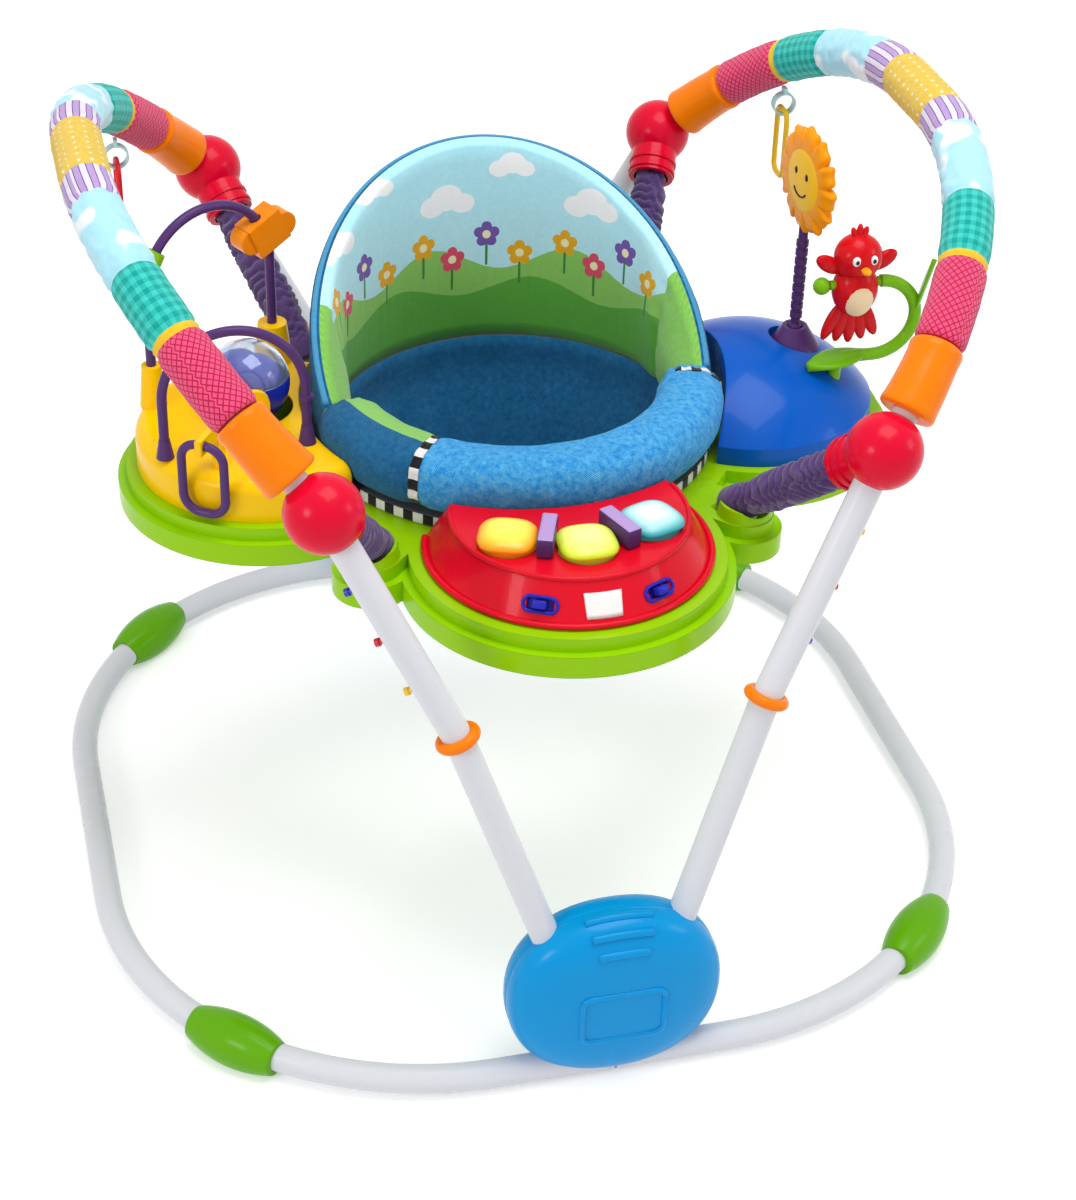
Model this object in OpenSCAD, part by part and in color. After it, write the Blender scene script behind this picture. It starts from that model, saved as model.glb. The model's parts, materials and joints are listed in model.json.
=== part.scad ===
// Free-standing baby jumper: a floor ring and four legs carry two padded arches,
// and a toy tray with a turning seat hangs between them on four sleeved springs.
// Millimetres, +Z up, front towards -Y, origin on the floor under the middle.

/* [Floor ring] */
// Diameter of the steel tubes of the ring and the legs
tube_d = 28.6; // [26:0.2:31]
// Wall of the steel tubes
tube_wall = 1.5; // [1:0.1:2.5]
// Half width of the floor ring, to the tube's middle
base_half = 460; // [455:1:480]
// Radius of the ring's corners, to the tube's middle
base_corner_r = 343; // [320:1:350]
// Height of the ring's tube over the floor
base_z = 20; // [18:0.5:22]
// Length of a corner foot
foot_len = 100; // [90:1:120]
// Largest diameter of a corner foot
foot_d = 54; // [50:1:60]

/* [Hubs and legs] */
// Width of a hub
hub_w = 215; // [205:1:225]
// Height of a hub
hub_h = 192; // [186:1:194]
// Thickness of a hub, front to back
hub_t = 80; // [76:1:90]
// Wall of the hub shells
hub_wall = 3; // [2:0.5:4]
// Distance of the hub's middle inside the floor ring
hub_in = 15; // [10:1:20]
// Height of the hub's middle
hub_z = 98; // [97:1:104]
// Sideways place of a leg's lower end in the hub
leg_foot_x = 46; // [42:1:50]
// Distance of a leg's lower end inside the floor ring
leg_foot_in = 10; // [6:1:14]
// Height of a leg's lower end in the hub
leg_foot_z = 110; // [104:1:118]
// Sideways place of the leg's bend
leg_bend_x = 147; // [142:1:152]
// Height of the leg's bend
leg_bend_z = 398; // [390:1:406]
// Radius of the leg's bend
leg_bend_r = 300; // [200:10:400]

/* [Balls and arches] */
// Diameter of a ball joint
ball_d = 72; // [70:1:78]
// Sideways place of the balls
ball_x = 257; // [250:1:264]
// Front and back place of the balls
ball_y = 363; // [358:1:370]
// Height of the balls
ball_z = 625; // [615:1:640]
// Diameter of an arch tube
arch_tube_d = 25.4; // [23:0.2:27]
// Rise of an arch over the balls, along its slope
arch_rise = 241; // [230:1:252]
// Outward tilt of an arch
arch_tilt = 41; // [38:1:44]
// Inward lean of the arch's ends
arch_lean = 25; // [22:1:28]
// Straight run at each end of an arch
arch_run = 47; // [44:1:52]
// Diameter of the padded arch cover
cover_d = 48; // [46:1:52]
// Diameter of the arch end socket
socket_d = 45; // [42:1:48]
// Gap between a ball's middle and the socket
socket_gap = 42; // [40:1:44]
// Length of the arch end socket
socket_len = 66; // [60:1:72]

/* [Straps] */
// Sideways place of the strap bosses on the tray
strap_x = 187; // [182:1:192]
// Front and back place of the strap bosses
strap_y = 205; // [200:1:210]
// Diameter of the cloth sleeve round a spring
sleeve_d = 37; // [34:1:38]
// Diameter of a bounce spring
spring_d = 20; // [16:1:22]
// Diameter of the snout on a ball
snout_d = 50; // [48:1:54]
// Reach of the snout from the ball's middle
snout_len = 58; // [54:1:62]

/* [Tray] */
// Height of the tray's top face
tray_z = 472; // [466:1:478]
// Depth of the tray's skirt below its top face
skirt_h = 37; // [32:1:42]
// Thickness of the tray's top
tray_plate = 5; // [3:0.5:7]
// Wall of the skirt
skirt_wall = 4; // [3:0.5:5]
// Width of the lower step round the rim
rim_step = 9; // [7:1:11]
// Drop of the lower step below the tray's top
rim_drop = 14; // [10:1:18]
// Radius of the tray's middle
tray_r = 240; // [236:1:244]
// Sideways place of the side lobes
lobe_x = 255; // [250:1:260]
// Radius of the side lobes
lobe_r = 150; // [147:1:154]
// Front place of the front lobe
front_y = 232; // [228:1:236]
// Radius of the front lobe
front_r = 163; // [160:1:168]
// Radius of a strap boss
boss_r = 38; // [36:1:40]
// Height of a strap boss over the tray
boss_h = 13; // [10:1:16]

/* [Seat] */
// Radius of the seat hole in the tray
seat_hole_r = 190; // [188:0.5:192]
// Turn of the seat at rest
seat_turn = 0; // [-20:1:20]
// Middle radius of the front roll
roll_r = 180; // [178:1:181]
// Diameter of the front roll
roll_d = 66; // [60:1:66]
// Radius of the outside of the seat back
back_r = 206; // [202:1:208]
// Thickness of the seat back
back_t = 22; // [18:1:24]
// Height of the seat back's sides over the seat ring
back_side_h = 56; // [50:1:64]
// Rise of the seat back over its sides
back_rise = 172; // [165:1:190]
// Inward swell of the seat's side bolsters
bolster = 16; // [10:1:18]
// Depth of the sling below the tray's top
sling_depth = 128; // [110:1:140]
// Radius of a leg hole in the sling
leg_hole_r = 52; // [46:1:54]

/* [Left toys] */
// Radius of the left station
left_r = 130; // [127:1:133]
// Height of the left station
left_h = 44; // [40:1:48]
// Diameter of the bead wires
wire_d = 10; // [8:0.5:11]
// Radius of the front bead wire's bend
front_wire_r = 70; // [67:1:71]
// Height of the front bead wire's bend centre
front_wire_z = 577; // [570:1:584]
// Radius of the rear bead wire's bend
rear_wire_r = 74; // [72:1:76]
// Height of the rear bead wire's bend centre
rear_wire_z = 636; // [630:1:642]
// Radius of the roller ball
roller_r = 43; // [40:1:44]
// Height of the roller's axle
roller_z = 545; // [542:1:550]
// Length of the grab ring
grab_len = 75; // [70:1:76]

/* [Front toys] */
// Radius of the front station at the tray
front_low_r = 138; // [135:1:141]
// Radius of the front station's top
front_top_r = 114; // [112:1:118]
// Height of the front station
front_h = 40; // [36:1:44]
// Radius of a dome key
key_r = 28; // [26:1:29]
// Travel of a dome key
key_travel = 4; // [2:0.5:5]

/* [Right toys] */
// Radius of the right station
right_r = 130; // [127:1:133]
// Height of the right station's dome
right_h = 83; // [78:1:86]
// Height of the right station's upright wall
right_wall_h = 20; // [16:1:24]
// Diameter of the bendy stalk
stalk_d = 13; // [12:1:14]
// Height of the sun's middle
sun_z = 726; // [722:1:732]
// Radius of the sun to the tips of its rays
sun_r = 58; // [54:1:60]
// Height of the bird's axle
bird_z = 631; // [628:1:634]

/* [Hidden] */
$fn = 64;
fit_gap = 0.3;    // gap between pieces that move past each other
sock_gap = 0.1;   // gap between a tube and its socket
big = 2000;

tube_r = tube_d / 2;
hub_y = base_half - hub_in;
leg_foot_y = base_half - leg_foot_in;
corner_c = base_half - base_corner_r;
tube_end_gap = 1; // half gap between two tube ends in a hub
foot_split = asin(3 / base_corner_r);

// Leg in its own upright plane
leg_plan = [ball_x - leg_foot_x, leg_foot_y - ball_y];
leg_az = atan2(leg_plan[1], leg_plan[0]);
leg_reach = norm(leg_plan);
leg_bend_reach = (leg_bend_x - leg_foot_x) / cos(leg_az);
leg_low_lean = atan2(leg_bend_reach, leg_bend_z - leg_foot_z);
leg_top_lean = atan2(leg_reach - leg_bend_reach, ball_z - leg_bend_z);
leg_turn = leg_top_lean - leg_low_lean;
leg_tangent = leg_bend_r * tan(leg_turn / 2);
leg_low_len = norm([leg_bend_reach, leg_bend_z - leg_foot_z]);
leg_top_len = norm([leg_reach - leg_bend_reach, ball_z - leg_bend_z]);
leg_upper_len = leg_top_len - leg_tangent;
leg_stop = 20;    // leg's end short of the ball's middle

// Arch in its own tilted plane
arch_r = round(1000 * (arch_rise - arch_run * cos(arch_lean)) / (1 - sin(arch_lean))) / 1000;
arch_mid = round(1000 * (ball_y - arch_run * sin(arch_lean) - arch_r * cos(arch_lean))) / 1000;
arch_turn = 90 - arch_lean;
arch_stop = 20;   // arch tube's end short of the ball's middle
function arc_deg(length) = length / arch_r * 180 / PI;
socket_turn = arc_deg(socket_gap + socket_len - arch_run);

// Strap from a ball to its boss
boss_top = tray_z + boss_h;
strap_vec = [strap_x - ball_x, strap_y - ball_y, boss_top - ball_z];
strap_len = norm(strap_vec);
strap_start = snout_len - 16;
strap_tail = 6;   // sleeve's end short of the boss's top
strap_hole_r = sleeve_d / 2 + 3;

// Levels
tray_low = tray_z - skirt_h;
ring_wall = 6;
seat_wall_r = seat_hole_r - 1.5;
flange_z = tray_z + fit_gap;
flange_h = 12;
pad_z = flange_z + flange_h + fit_gap;
station_z = tray_z;
clear_r = 218;    // stations keep outside this radius of the seat
shell = 3;

// Left station
left_x = -lobe_x;
left_top = station_z + left_h;
left_round = 14;
front_wire_x = -292;
front_wire_y = -58;
rear_wire_mid = [left_x - 0.3 * left_r, 0.6385 * left_r];
rear_wire_az = 26.565;
tower_top = 560;
roller_at = [-268, 25, roller_z];
roller_gap = 2;
lug_t = 7;
axle_r = 4;
grab_az = 235.7;
grab_out = left_r + 7;
grab_w = 45;
grab_wire = 9;
grab_corner = 18;
grab_z = station_z + grab_len + 10;
grab_arm_w = 7;

// Front station
front_top = station_z + front_h;
cone_tilt = atan2(front_low_r - front_top_r, front_h);
keys_at = [[-70, -270], [0, -296], [70, -270]];
switch_az = 26.6;
switch_z = 490;

// Right station
right_x = lobe_x;
dome_rise = right_h - right_wall_h;
dome_r = (right_r * right_r + dome_rise * dome_rise) / (2 * dome_rise);
boot_at = [301, -4];
boot_r = 27;
boot_h = 26;
boot_z = 537;
stalk_pivot_z = boot_z + boot_h - 2;
stalk_ball_r = 7;
sun_t = 16;
bird_x = 343;
bird_y = -52;
bird_half = 24;
pin_r = 5;
branch_d = 13;
branch_r = 42;
branch_x = 370;
branch_foot_x = 330;
branch_foot_z = station_z + 38;
branch_low_z = bird_z - 2 * branch_r;
branch_bend = 12;

// Toy loops on the arches
loop_y = 250;
loop_s = arch_rise - arch_r + sqrt(arch_r * arch_r - pow(loop_y - arch_mid, 2));
loop_at = [ball_x + loop_s * sin(arch_tilt), loop_y, ball_z + loop_s * cos(arch_tilt)];
loop_r = 13;
loop_w = 9;
loop_wall = 2;
loop_z = loop_at[2] - 0.645 * cover_d - loop_r - 6;
link_wire = 6;
link_w = 30;
link_len = 76;
link_corner = 10;
link_z = loop_z - loop_r + loop_wall + 1.5 + link_wire / 2;

// Shared shapes

module ring2d(r, wall) {
    difference() {
        circle(r);
        if (wall > 0) circle(r - wall);
    }
}

// Copies into the quarter with these signs of x and y; the shape is drawn at +x, +y
module quarter(sx, sy) {
    mirror([sx < 0 ? 1 : 0, 0, 0]) mirror([0, sy < 0 ? 1 : 0, 0]) children();
}

module each_quarter() {
    for (sx = [-1, 1]) for (sy = [-1, 1]) quarter(sx, sy) children();
}

// Stands children along a direction from a point
module aim(from, dir) {
    translate(from)
        rotate([0, atan2(norm([dir[0], dir[1]]), dir[2]), atan2(dir[1], dir[0])]) children();
}

// A closed skin over rows of points that all have the same count
module skin(rows) {
    n = len(rows[0]);
    last = len(rows) - 1;
    sides = [for (i = [0 : last - 1]) for (j = [0 : n - 1])
        let (a = i * n + j, b = i * n + (j + 1) % n)
            each [[a, b, a + n], [b, b + n, a + n]]];
    polyhedron([for (row = rows) each row], concat([[for (j = [n - 1 : -1 : 0]) j]], sides,
        [[for (j = [0 : n - 1]) last * n + j]]));
}

// A rounded rectangular ring in the XZ plane, its top bar's middle at the origin
module link_shape(w, length, d, corner) {
    rotate([90, 0, 0]) translate([0, -length / 2, 0]) union() {
        for (s = [-1, 1]) {
            translate([s * w / 2, corner - length / 2, 0]) rotate([-90, 0, 0])
                cylinder(h = length - 2 * corner, r = d / 2);
            translate([corner - w / 2, s * length / 2, 0]) rotate([0, 90, 0])
                cylinder(h = w - 2 * corner, r = d / 2);
        }
        for (k = [0 : 3]) {
            sx = k == 0 || k == 3 ? 1 : -1;
            sy = k < 2 ? 1 : -1;
            translate([sx * (w / 2 - corner), sy * (length / 2 - corner), 0]) rotate([0, 0, 90 * k])
                rotate_extrude(angle = 90) translate([corner, 0]) circle(d / 2);
        }
    }
}

// An arched wire in the XZ plane: two upright legs and a half circle of this radius
module hoop(r, foot_z, bend_z, d) {
    union() {
        for (s = [-1, 1]) translate([s * r, 0, foot_z]) cylinder(h = bend_z - foot_z, r = d / 2);
        translate([0, 0, bend_z]) rotate([90, 0, 0])
            rotate_extrude(angle = 180) translate([r, 0]) circle(d / 2);
    }
}

// Floor ring

module corner_arc(r, from, to, wall) {
    translate([corner_c, corner_c, base_z]) rotate([0, 0, from])
        rotate_extrude(angle = to - from) translate([base_corner_r, 0]) ring2d(r, wall);
}

module hub_tube(sx, sy) {
    color("whitesmoke") quarter(sx, sy) mirror([1, -1, 0]) union() {
        corner_arc(tube_r, 0, 45 - foot_split, tube_wall);
        translate([base_half, tube_end_gap, base_z]) rotate([-90, 0, 0])
            linear_extrude(corner_c - tube_end_gap) ring2d(tube_r, tube_wall);
    }
}

module side_tube(sx) {
    color("whitesmoke") union() {
        for (sy = [-1, 1]) quarter(sx, sy) corner_arc(tube_r, 0, 45 - foot_split, tube_wall);
        translate([sx * base_half, -corner_c, base_z]) rotate([-90, 0, 0])
            linear_extrude(2 * corner_c) ring2d(tube_r, tube_wall);
    }
}

// An egg-shaped corner fitting with a bore for both tube ends and a flat sole
module foot(sx, sy) {
    end_r = tube_r + 3;
    bulge = foot_d / 2 - end_r;
    arc_r = (foot_len * foot_len / 4 + bulge * bulge) / (2 * bulge);
    mid = corner_c + base_corner_r * cos(45);
    color("yellowgreen") quarter(sx, sy) difference() {
        intersection() {
            translate([mid, mid, base_z]) rotate([0, 0, 45]) rotate([90, 0, 0])
                rotate_extrude() intersection() {
                    translate([foot_d / 2 - arc_r, 0]) circle(arc_r, $fn = 180);
                    translate([0, -foot_len / 2]) square([foot_d, foot_len]);
                }
            translate([0, 0, big / 2]) cube(big, center = true);
        }
        corner_arc(tube_r + sock_gap, 30, 60, 0);
    }
}

// Legs, drawn at +x and +y

module leg_axis() {
    translate([leg_foot_x, leg_foot_y, leg_foot_z]) rotate([0, leg_low_lean, -leg_az]) children();
}

module leg_upper() {
    leg_axis() translate([0, 0, leg_low_len - leg_tangent])
        translate([leg_bend_r * (1 - cos(leg_turn)), 0, leg_bend_r * sin(leg_turn)])
            rotate([0, leg_turn, 0]) children();
}

// Stands children on the middle of the leg's bend
module leg_bend_middle() {
    half = leg_turn / 2;
    leg_axis() translate([0, 0, leg_low_len - leg_tangent])
        translate([leg_bend_r * (1 - cos(half)), 0, leg_bend_r * sin(half)])
            rotate([0, half, 0]) children();
}

module leg(sx, sy) {
    color("white") quarter(sx, sy) union() {
        leg_axis() linear_extrude(leg_low_len - leg_tangent) ring2d(tube_r, tube_wall);
        leg_axis() translate([leg_bend_r, 0, leg_low_len - leg_tangent]) rotate([0, 0, 180])
            rotate([90, 0, 0]) rotate_extrude(angle = leg_turn)
                translate([leg_bend_r, 0]) ring2d(tube_r, tube_wall);
        leg_upper() linear_extrude(leg_upper_len - leg_stop) ring2d(tube_r, tube_wall);
    }
}

module leg_rings() {
    ring_t = 11;
    color("orange") each_quarter() leg_bend_middle() difference() {
        rotate_extrude() translate([tube_r + 2.5, 0]) circle(ring_t / 2);
        cylinder(h = 4 * ring_t, r = tube_r + sock_gap, center = true);
    }
}

// Three marker studs up the outer side of each upper leg
module height_studs() {
    step = 57;
    first = 45;
    neck = [2.6, 3.5];
    tip = [4, 4];
    color("firebrick") each_quarter() for (k = [0 : 2])
        leg_upper() translate([0, 0, first + k * step]) rotate([0, 90, 0])
            translate([0, 0, tube_r + sock_gap]) union() {
                cylinder(h = neck[1], r = neck[0]);
                translate([0, 0, neck[1]]) cylinder(h = tip[1], r = tip[0]);
            }
}

// Hubs, drawn at +y with the outer face towards +y

// Half of the hub's section: crowned face, rounded rim
module hub2d(in) {
    rim = 28;
    edge = 12;
    r = hub_h / 2 - in;
    h = hub_t / 2 - in;
    crown = hub_t / 2 - rim;
    crown_r = (hub_h * hub_h / 4 + crown * crown) / (2 * crown);
    intersection() {
        translate([0, hub_t / 2 - crown_r - in]) circle(crown_r, $fn = 180);
        union() {
            square([r - edge, h]);
            square([r, rim - edge + 2]);
            translate([r - edge, rim - edge + 2]) circle(edge);
        }
        square([r, h]);
    }
}

module hub_wall2d() {
    difference() {
        hub2d(0);
        hub2d(hub_wall);
    }
}

// Two half turns with a straight stretch between them
module hub_shell() {
    half = (hub_w - hub_h) / 2;
    rotate([-90, 0, 0]) union() {
        translate([half, 0, 0]) rotate([0, 0, -90]) rotate_extrude(angle = 180) hub_wall2d();
        translate([-half, 0, 0]) rotate([0, 0, 90]) rotate_extrude(angle = 180) hub_wall2d();
        rotate([90, 0, 90]) linear_extrude(2 * half, center = true) union() {
            hub_wall2d();
            mirror([1, 0]) hub_wall2d();
        }
    }
}

// A shell half with the sockets that hold the legs and the floor tubes
module hub_half(sy, outer) {
    wall = 3.5;
    color("deepskyblue") quarter(1, sy) difference() {
        union() {
            translate([0, hub_y, hub_z]) mirror([0, outer ? 0 : 1, 0]) hub_shell();
            intersection() {
                translate([0, hub_y + (outer ? big / 2 : -big / 2), 0]) cube(big, center = true);
                union() {
                    for (s = [0, 1]) mirror([s, 0, 0]) leg_axis() cylinder(h = 60, r = tube_r + wall);
                    translate([0, base_half, base_z]) rotate([0, 90, 0])
                        cylinder(h = 36, r = tube_r + 2, center = true);
                }
            }
        }
        for (s = [0, 1]) mirror([s, 0, 0]) leg_axis()
            translate([0, 0, -2]) cylinder(h = 200, r = tube_r + sock_gap);
        translate([0, base_half, base_z]) rotate([0, 90, 0])
            cylinder(h = hub_w, r = tube_r + sock_gap, center = true);
    }
}

// Ball joints

module ball(sx, sy) {
    ridge = 1.5;
    color("crimson") quarter(sx, sy) difference() {
        union() {
            translate([ball_x, ball_y, ball_z]) sphere(ball_d / 2);
            aim([ball_x, ball_y, ball_z], strap_vec) {
                cylinder(h = snout_len, r = snout_d / 2);
                for (k = [0.66, 0.86]) translate([0, 0, snout_len * k])
                    cylinder(h = 4, r = snout_d / 2 + ridge);
            }
        }
        aim([ball_x, ball_y, ball_z], strap_vec) translate([0, 0, strap_start - 1])
            cylinder(h = 60, r = sleeve_d / 2 + 1);
        leg_upper() translate([0, 0, leg_upper_len - 80])
            cylinder(h = 80 - leg_stop + 1, r = tube_r + sock_gap);
        arch_plane() arch_end() translate([0, 0, -1])
            cylinder(h = arch_run - arch_stop + 2, r = arch_tube_d / 2 + sock_gap);
    }
}

// Arches: x runs front to back and y up the tilted plane

module arch_plane() {
    translate([ball_x, 0, ball_z]) rotate([0, arch_tilt, 0]) rotate([90, 0, 90]) children();
}

// Stretch of the rear bend, measured up from its lower end
module arch_bend(r, wall, from, to) {
    translate([arch_mid, arch_rise - arch_r, 0]) rotate([0, 0, arch_lean + from])
        rotate_extrude(angle = to - from) translate([arch_r, 0]) ring2d(r, wall);
}

// Stands children on the lower end of the rear bend, towards the ball
module arch_end() {
    translate([arch_mid, arch_rise - arch_r, 0]) rotate([0, 0, arch_lean])
        translate([arch_r, 0, 0]) rotate([90, 0, 0]) children();
}

module arch_middle(r, wall) {
    translate([-arch_mid, arch_rise, 0]) rotate([0, 90, 0])
        linear_extrude(2 * arch_mid) ring2d(r, wall);
}

module arch_both() {
    for (s = [0, 1]) mirror([s, 0, 0]) children();
}

module arch_tube(sx) {
    color("silver") quarter(sx, 1) arch_plane() union() {
        arch_both() union() {
            arch_bend(arch_tube_d / 2, tube_wall, 0, arch_turn);
            arch_end() linear_extrude(arch_run - arch_stop) ring2d(arch_tube_d / 2, tube_wall);
        }
        arch_middle(arch_tube_d / 2, tube_wall);
    }
}

// Padded cloth cover between the two sockets
module arch_cover(sx) {
    r = cover_d / 2;
    wall = r - arch_tube_d / 2 - fit_gap;
    color("mediumturquoise") quarter(sx, 1) arch_plane() {
        arch_both() arch_bend(r, wall, socket_turn + arc_deg(1), arch_turn - arc_deg(sock_gap));
        arch_middle(r, wall);
    }
}

module arch_sockets() {
    wall = (socket_d - arch_tube_d) / 2 - sock_gap;
    color("darkorange") each_quarter() arch_plane() union() {
        arch_bend(socket_d / 2, wall, 0, socket_turn);
        arch_end() linear_extrude(arch_run - socket_gap) ring2d(socket_d / 2, wall);
    }
}

// Cloth loops under the arches, and the links that hang in them
module toy_loops() {
    color("lightcyan") for (sx = [-1, 1]) quarter(sx, 1) translate([loop_at[0], loop_y, loop_z])
        rotate([90, 0, 0]) linear_extrude(loop_w, center = true) union() {
            ring2d(loop_r, loop_wall);
            translate([-loop_wall, loop_r - 1]) square([2 * loop_wall, 7]);
        }
}

module swing_link(sx) {
    color(sx < 0 ? "crimson" : "gold") quarter(sx, 1) translate([loop_at[0], loop_y, link_z])
        rotate([0, 0, 90]) link_shape(link_w, link_len, link_wire, link_corner);
}

// Straps

module strap_aim() {
    aim([ball_x, ball_y, ball_z], strap_vec) children();
}

// Gathered cloth sleeves: a row of soft folds round each spring
module strap_sleeves() {
    folds = 9;
    length = strap_len - strap_tail - strap_start;
    step = length / folds;
    low = sleeve_d / 2 - 3;
    color("rebeccapurple") each_quarter() strap_aim() translate([0, 0, strap_start])
        rotate_extrude() difference() {
            union() {
                square([low, length]);
                for (k = [0 : folds - 1]) translate([low - 1.5, step * (k + 0.5)]) circle(4.5);
            }
            square([spring_d / 2 + fit_gap, length]);
        }
}

module bounce_springs() {
    coil_wall = 2.5;
    color("silver") each_quarter() strap_aim() translate([0, 0, strap_start])
        linear_extrude(strap_len - strap_tail - strap_start) ring2d(spring_d / 2, coil_wall);
}

// Tray

module tray2d(in) {
    circle(tray_r - in);
    for (s = [-1, 1]) translate([s * lobe_x, 0]) circle(lobe_r - in);
    translate([0, -front_y]) circle(front_r - in);
    for (sx = [-1, 1]) for (sy = [-1, 1]) {
        translate([sx * strap_x, sy * strap_y]) circle(boss_r - in);
        rotate(atan2(sy * strap_y, sx * strap_x)) translate([0, in - boss_r])
            square([norm([strap_x, strap_y]), 2 * (boss_r - in)]);
    }
}

module tray_top() {
    hole_from = strap_len - 45;
    color("yellowgreen") difference() {
        union() {
            translate([0, 0, tray_low]) linear_extrude(skirt_h - rim_drop) tray2d(0);
            translate([0, 0, tray_low]) linear_extrude(skirt_h) tray2d(rim_step);
            each_quarter() translate([strap_x, strap_y, tray_z - 1])
                cylinder(h = boss_h + 1, r1 = boss_r - rim_step - 1, r2 = boss_r - rim_step - 4);
        }
        translate([0, 0, tray_low - 1])
            linear_extrude(skirt_h - tray_plate + 1) tray2d(rim_step + skirt_wall);
        translate([0, 0, tray_low - 1]) cylinder(h = skirt_h + 2, r = seat_hole_r);
        each_quarter() strap_aim() translate([0, 0, hole_from]) cylinder(h = 75, r = strap_hole_r);
    }
}

// Lower ring that closes the tray round the seat and guides the seat ring
module tray_under() {
    floor_t = 4;
    color("olivedrab") translate([0, 0, tray_low + 1]) difference() {
        cylinder(h = skirt_h - tray_plate - 1, r = seat_hole_r + 14);
        translate([0, 0, floor_t]) cylinder(h = big, r = seat_hole_r + 10);
        translate([0, 0, -1]) cylinder(h = big, r = seat_hole_r);
    }
}

// Left station

module left_body2d(in) {
    square([left_r - left_round, left_h - in]);
    square([left_r - in, left_h - left_round - in]);
    if (in == 0) translate([left_r - left_round, left_h - left_round]) circle(left_round);
}

module at_grab() {
    translate([left_x, 0, 0]) rotate([0, 0, grab_az]) children();
}

function lug_y(s) = roller_at[1] + s * (roller_r + roller_gap + lug_t / 2);

module left_station() {
    arm_h = 8;
    color("gold") difference() {
        union() {
            difference() {
                translate([left_x, 0, station_z]) rotate_extrude() left_body2d(0);
                difference() {
                    translate([left_x, 0, station_z - 1]) rotate_extrude() left_body2d(shell);
                    cylinder(h = big, r = clear_r + shell);
                }
                cylinder(h = big, r = clear_r);
            }
            translate([rear_wire_mid[0], rear_wire_mid[1], left_top - 2]) rotate([0, 0, rear_wire_az]) {
                translate([rear_wire_r, 0, 0]) cylinder(h = tower_top - left_top + 2, r1 = 20, r2 = 15);
                translate([-rear_wire_r, 0, 0]) cylinder(h = tower_top - left_top + 2, r1 = 14, r2 = 10);
            }
            for (s = [-1, 1]) translate([roller_at[0], lug_y(s), left_top - 2]) {
                translate([-15, -lug_t / 2, 0]) cube([30, lug_t, roller_z - left_top + 2]);
                translate([0, 0, roller_z - left_top + 2]) rotate([90, 0, 0])
                    cylinder(h = lug_t, r = 15, center = true);
            }
            at_grab() translate([left_r - 34, -grab_arm_w / 2, left_top - 2])
                cube([14, grab_arm_w, grab_z - left_top + 2 + arm_h]);
            at_grab() translate([left_r - 34, -grab_arm_w / 2, grab_z - arm_h])
                cube([grab_out - left_r + 34 + arm_h, grab_arm_w, 2 * arm_h]);
        }
        translate([roller_at[0], roller_at[1], left_top - 10])
            cylinder(h = 20, r = roller_r + roller_gap);
        translate(roller_at) rotate([90, 0, 0])
            cylinder(h = 200, r = axle_r + fit_gap, center = true);
        at_grab() translate([grab_out, 0, grab_z]) rotate([90, 0, 0])
            cylinder(h = 40, r = grab_wire / 2 + 0.5, center = true);
    }
}

// Two arched wires with flared feet; the front one has a collar
module bead_wires() {
    flare_h = 20;
    color("rebeccapurple") {
        translate([front_wire_x, front_wire_y, 0]) union() {
            hoop(front_wire_r, left_top + flare_h, front_wire_z, wire_d);
            for (s = [-1, 1]) translate([s * front_wire_r, 0, left_top])
                cylinder(h = flare_h, r1 = 9, r2 = wire_d / 2 + 0.5);
            translate([front_wire_r, 0, front_wire_z - 12]) cylinder(h = 5, r = wire_d / 2 + 2);
        }
        at_rear_wire() hoop(rear_wire_r, tower_top - rear_wire_z, 0, wire_d);
    }
}

module at_rear_wire() {
    translate([rear_wire_mid[0], rear_wire_mid[1], rear_wire_z]) rotate([0, 0, rear_wire_az]) children();
}

module on_rear_wire(angle) {
    at_rear_wire() rotate([0, -angle, 0]) translate([rear_wire_r, 0, 0]) children();
}

module rear_wire_hole() {
    translate([-rear_wire_r, 0, 0]) rotate([90, 0, 0]) rotate_extrude()
        translate([rear_wire_r, 0]) circle(wire_d / 2 + 1);
}

// A block bead with two rounded ends that slides on the rear wire
module bead_block() {
    block = [40, 26, 36];
    color("darkorange") on_rear_wire(24) difference() {
        union() {
            cube(block, center = true);
            for (s = [-1, 1]) translate([s * block[0] / 2, 0, -s * 4]) rotate([90, 0, 0])
                cylinder(h = block[1] - 4, r = 13, center = true);
        }
        rear_wire_hole();
    }
}

// A twisted bead of three lobes on a bent sleeve, on the far side of the rear wire
module bead_twist() {
    lobe = [10, 13];
    sleeve_r = 8;
    color("limegreen") union() {
        at_rear_wire() rotate([90, 0, 0]) rotate([0, 0, 143]) rotate_extrude(angle = 36)
            translate([rear_wire_r, 0]) ring2d(sleeve_r, sleeve_r - wire_d / 2 - 1);
        for (k = [0 : 2]) on_rear_wire(149 + 12 * k) difference() {
            cylinder(h = lobe[1], r = lobe[0], center = true);
            cylinder(h = 2 * lobe[1], r = sleeve_r - 1, center = true);
        }
    }
}

// Roller ball on stub axles: a solid-coloured bowl and a clear cap
module roller_shell() {
    stub = roller_gap + lug_t;
    color("mediumblue") translate(roller_at) union() {
        difference() {
            sphere(roller_r);
            sphere(roller_r - shell);
            translate([0, 0, big / 2 + 8]) cube(big, center = true);
        }
        for (s = [-1, 1]) translate([0, s * (roller_r - 2), 0]) rotate([-90 * s, 0, 0])
            cylinder(h = stub + 2, r = axle_r);
    }
}

module roller_window() {
    color("lightblue") translate(roller_at) difference() {
        sphere(roller_r);
        sphere(roller_r - shell);
        translate([0, 0, 8 + sock_gap - big / 2]) cube(big, center = true);
    }
}

module grab_ring() {
    color("rebeccapurple") at_grab() translate([grab_out, 0, grab_z]) rotate([0, 0, 90])
        link_shape(grab_w, grab_len, grab_wire, grab_corner);
}

// Front station

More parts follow.
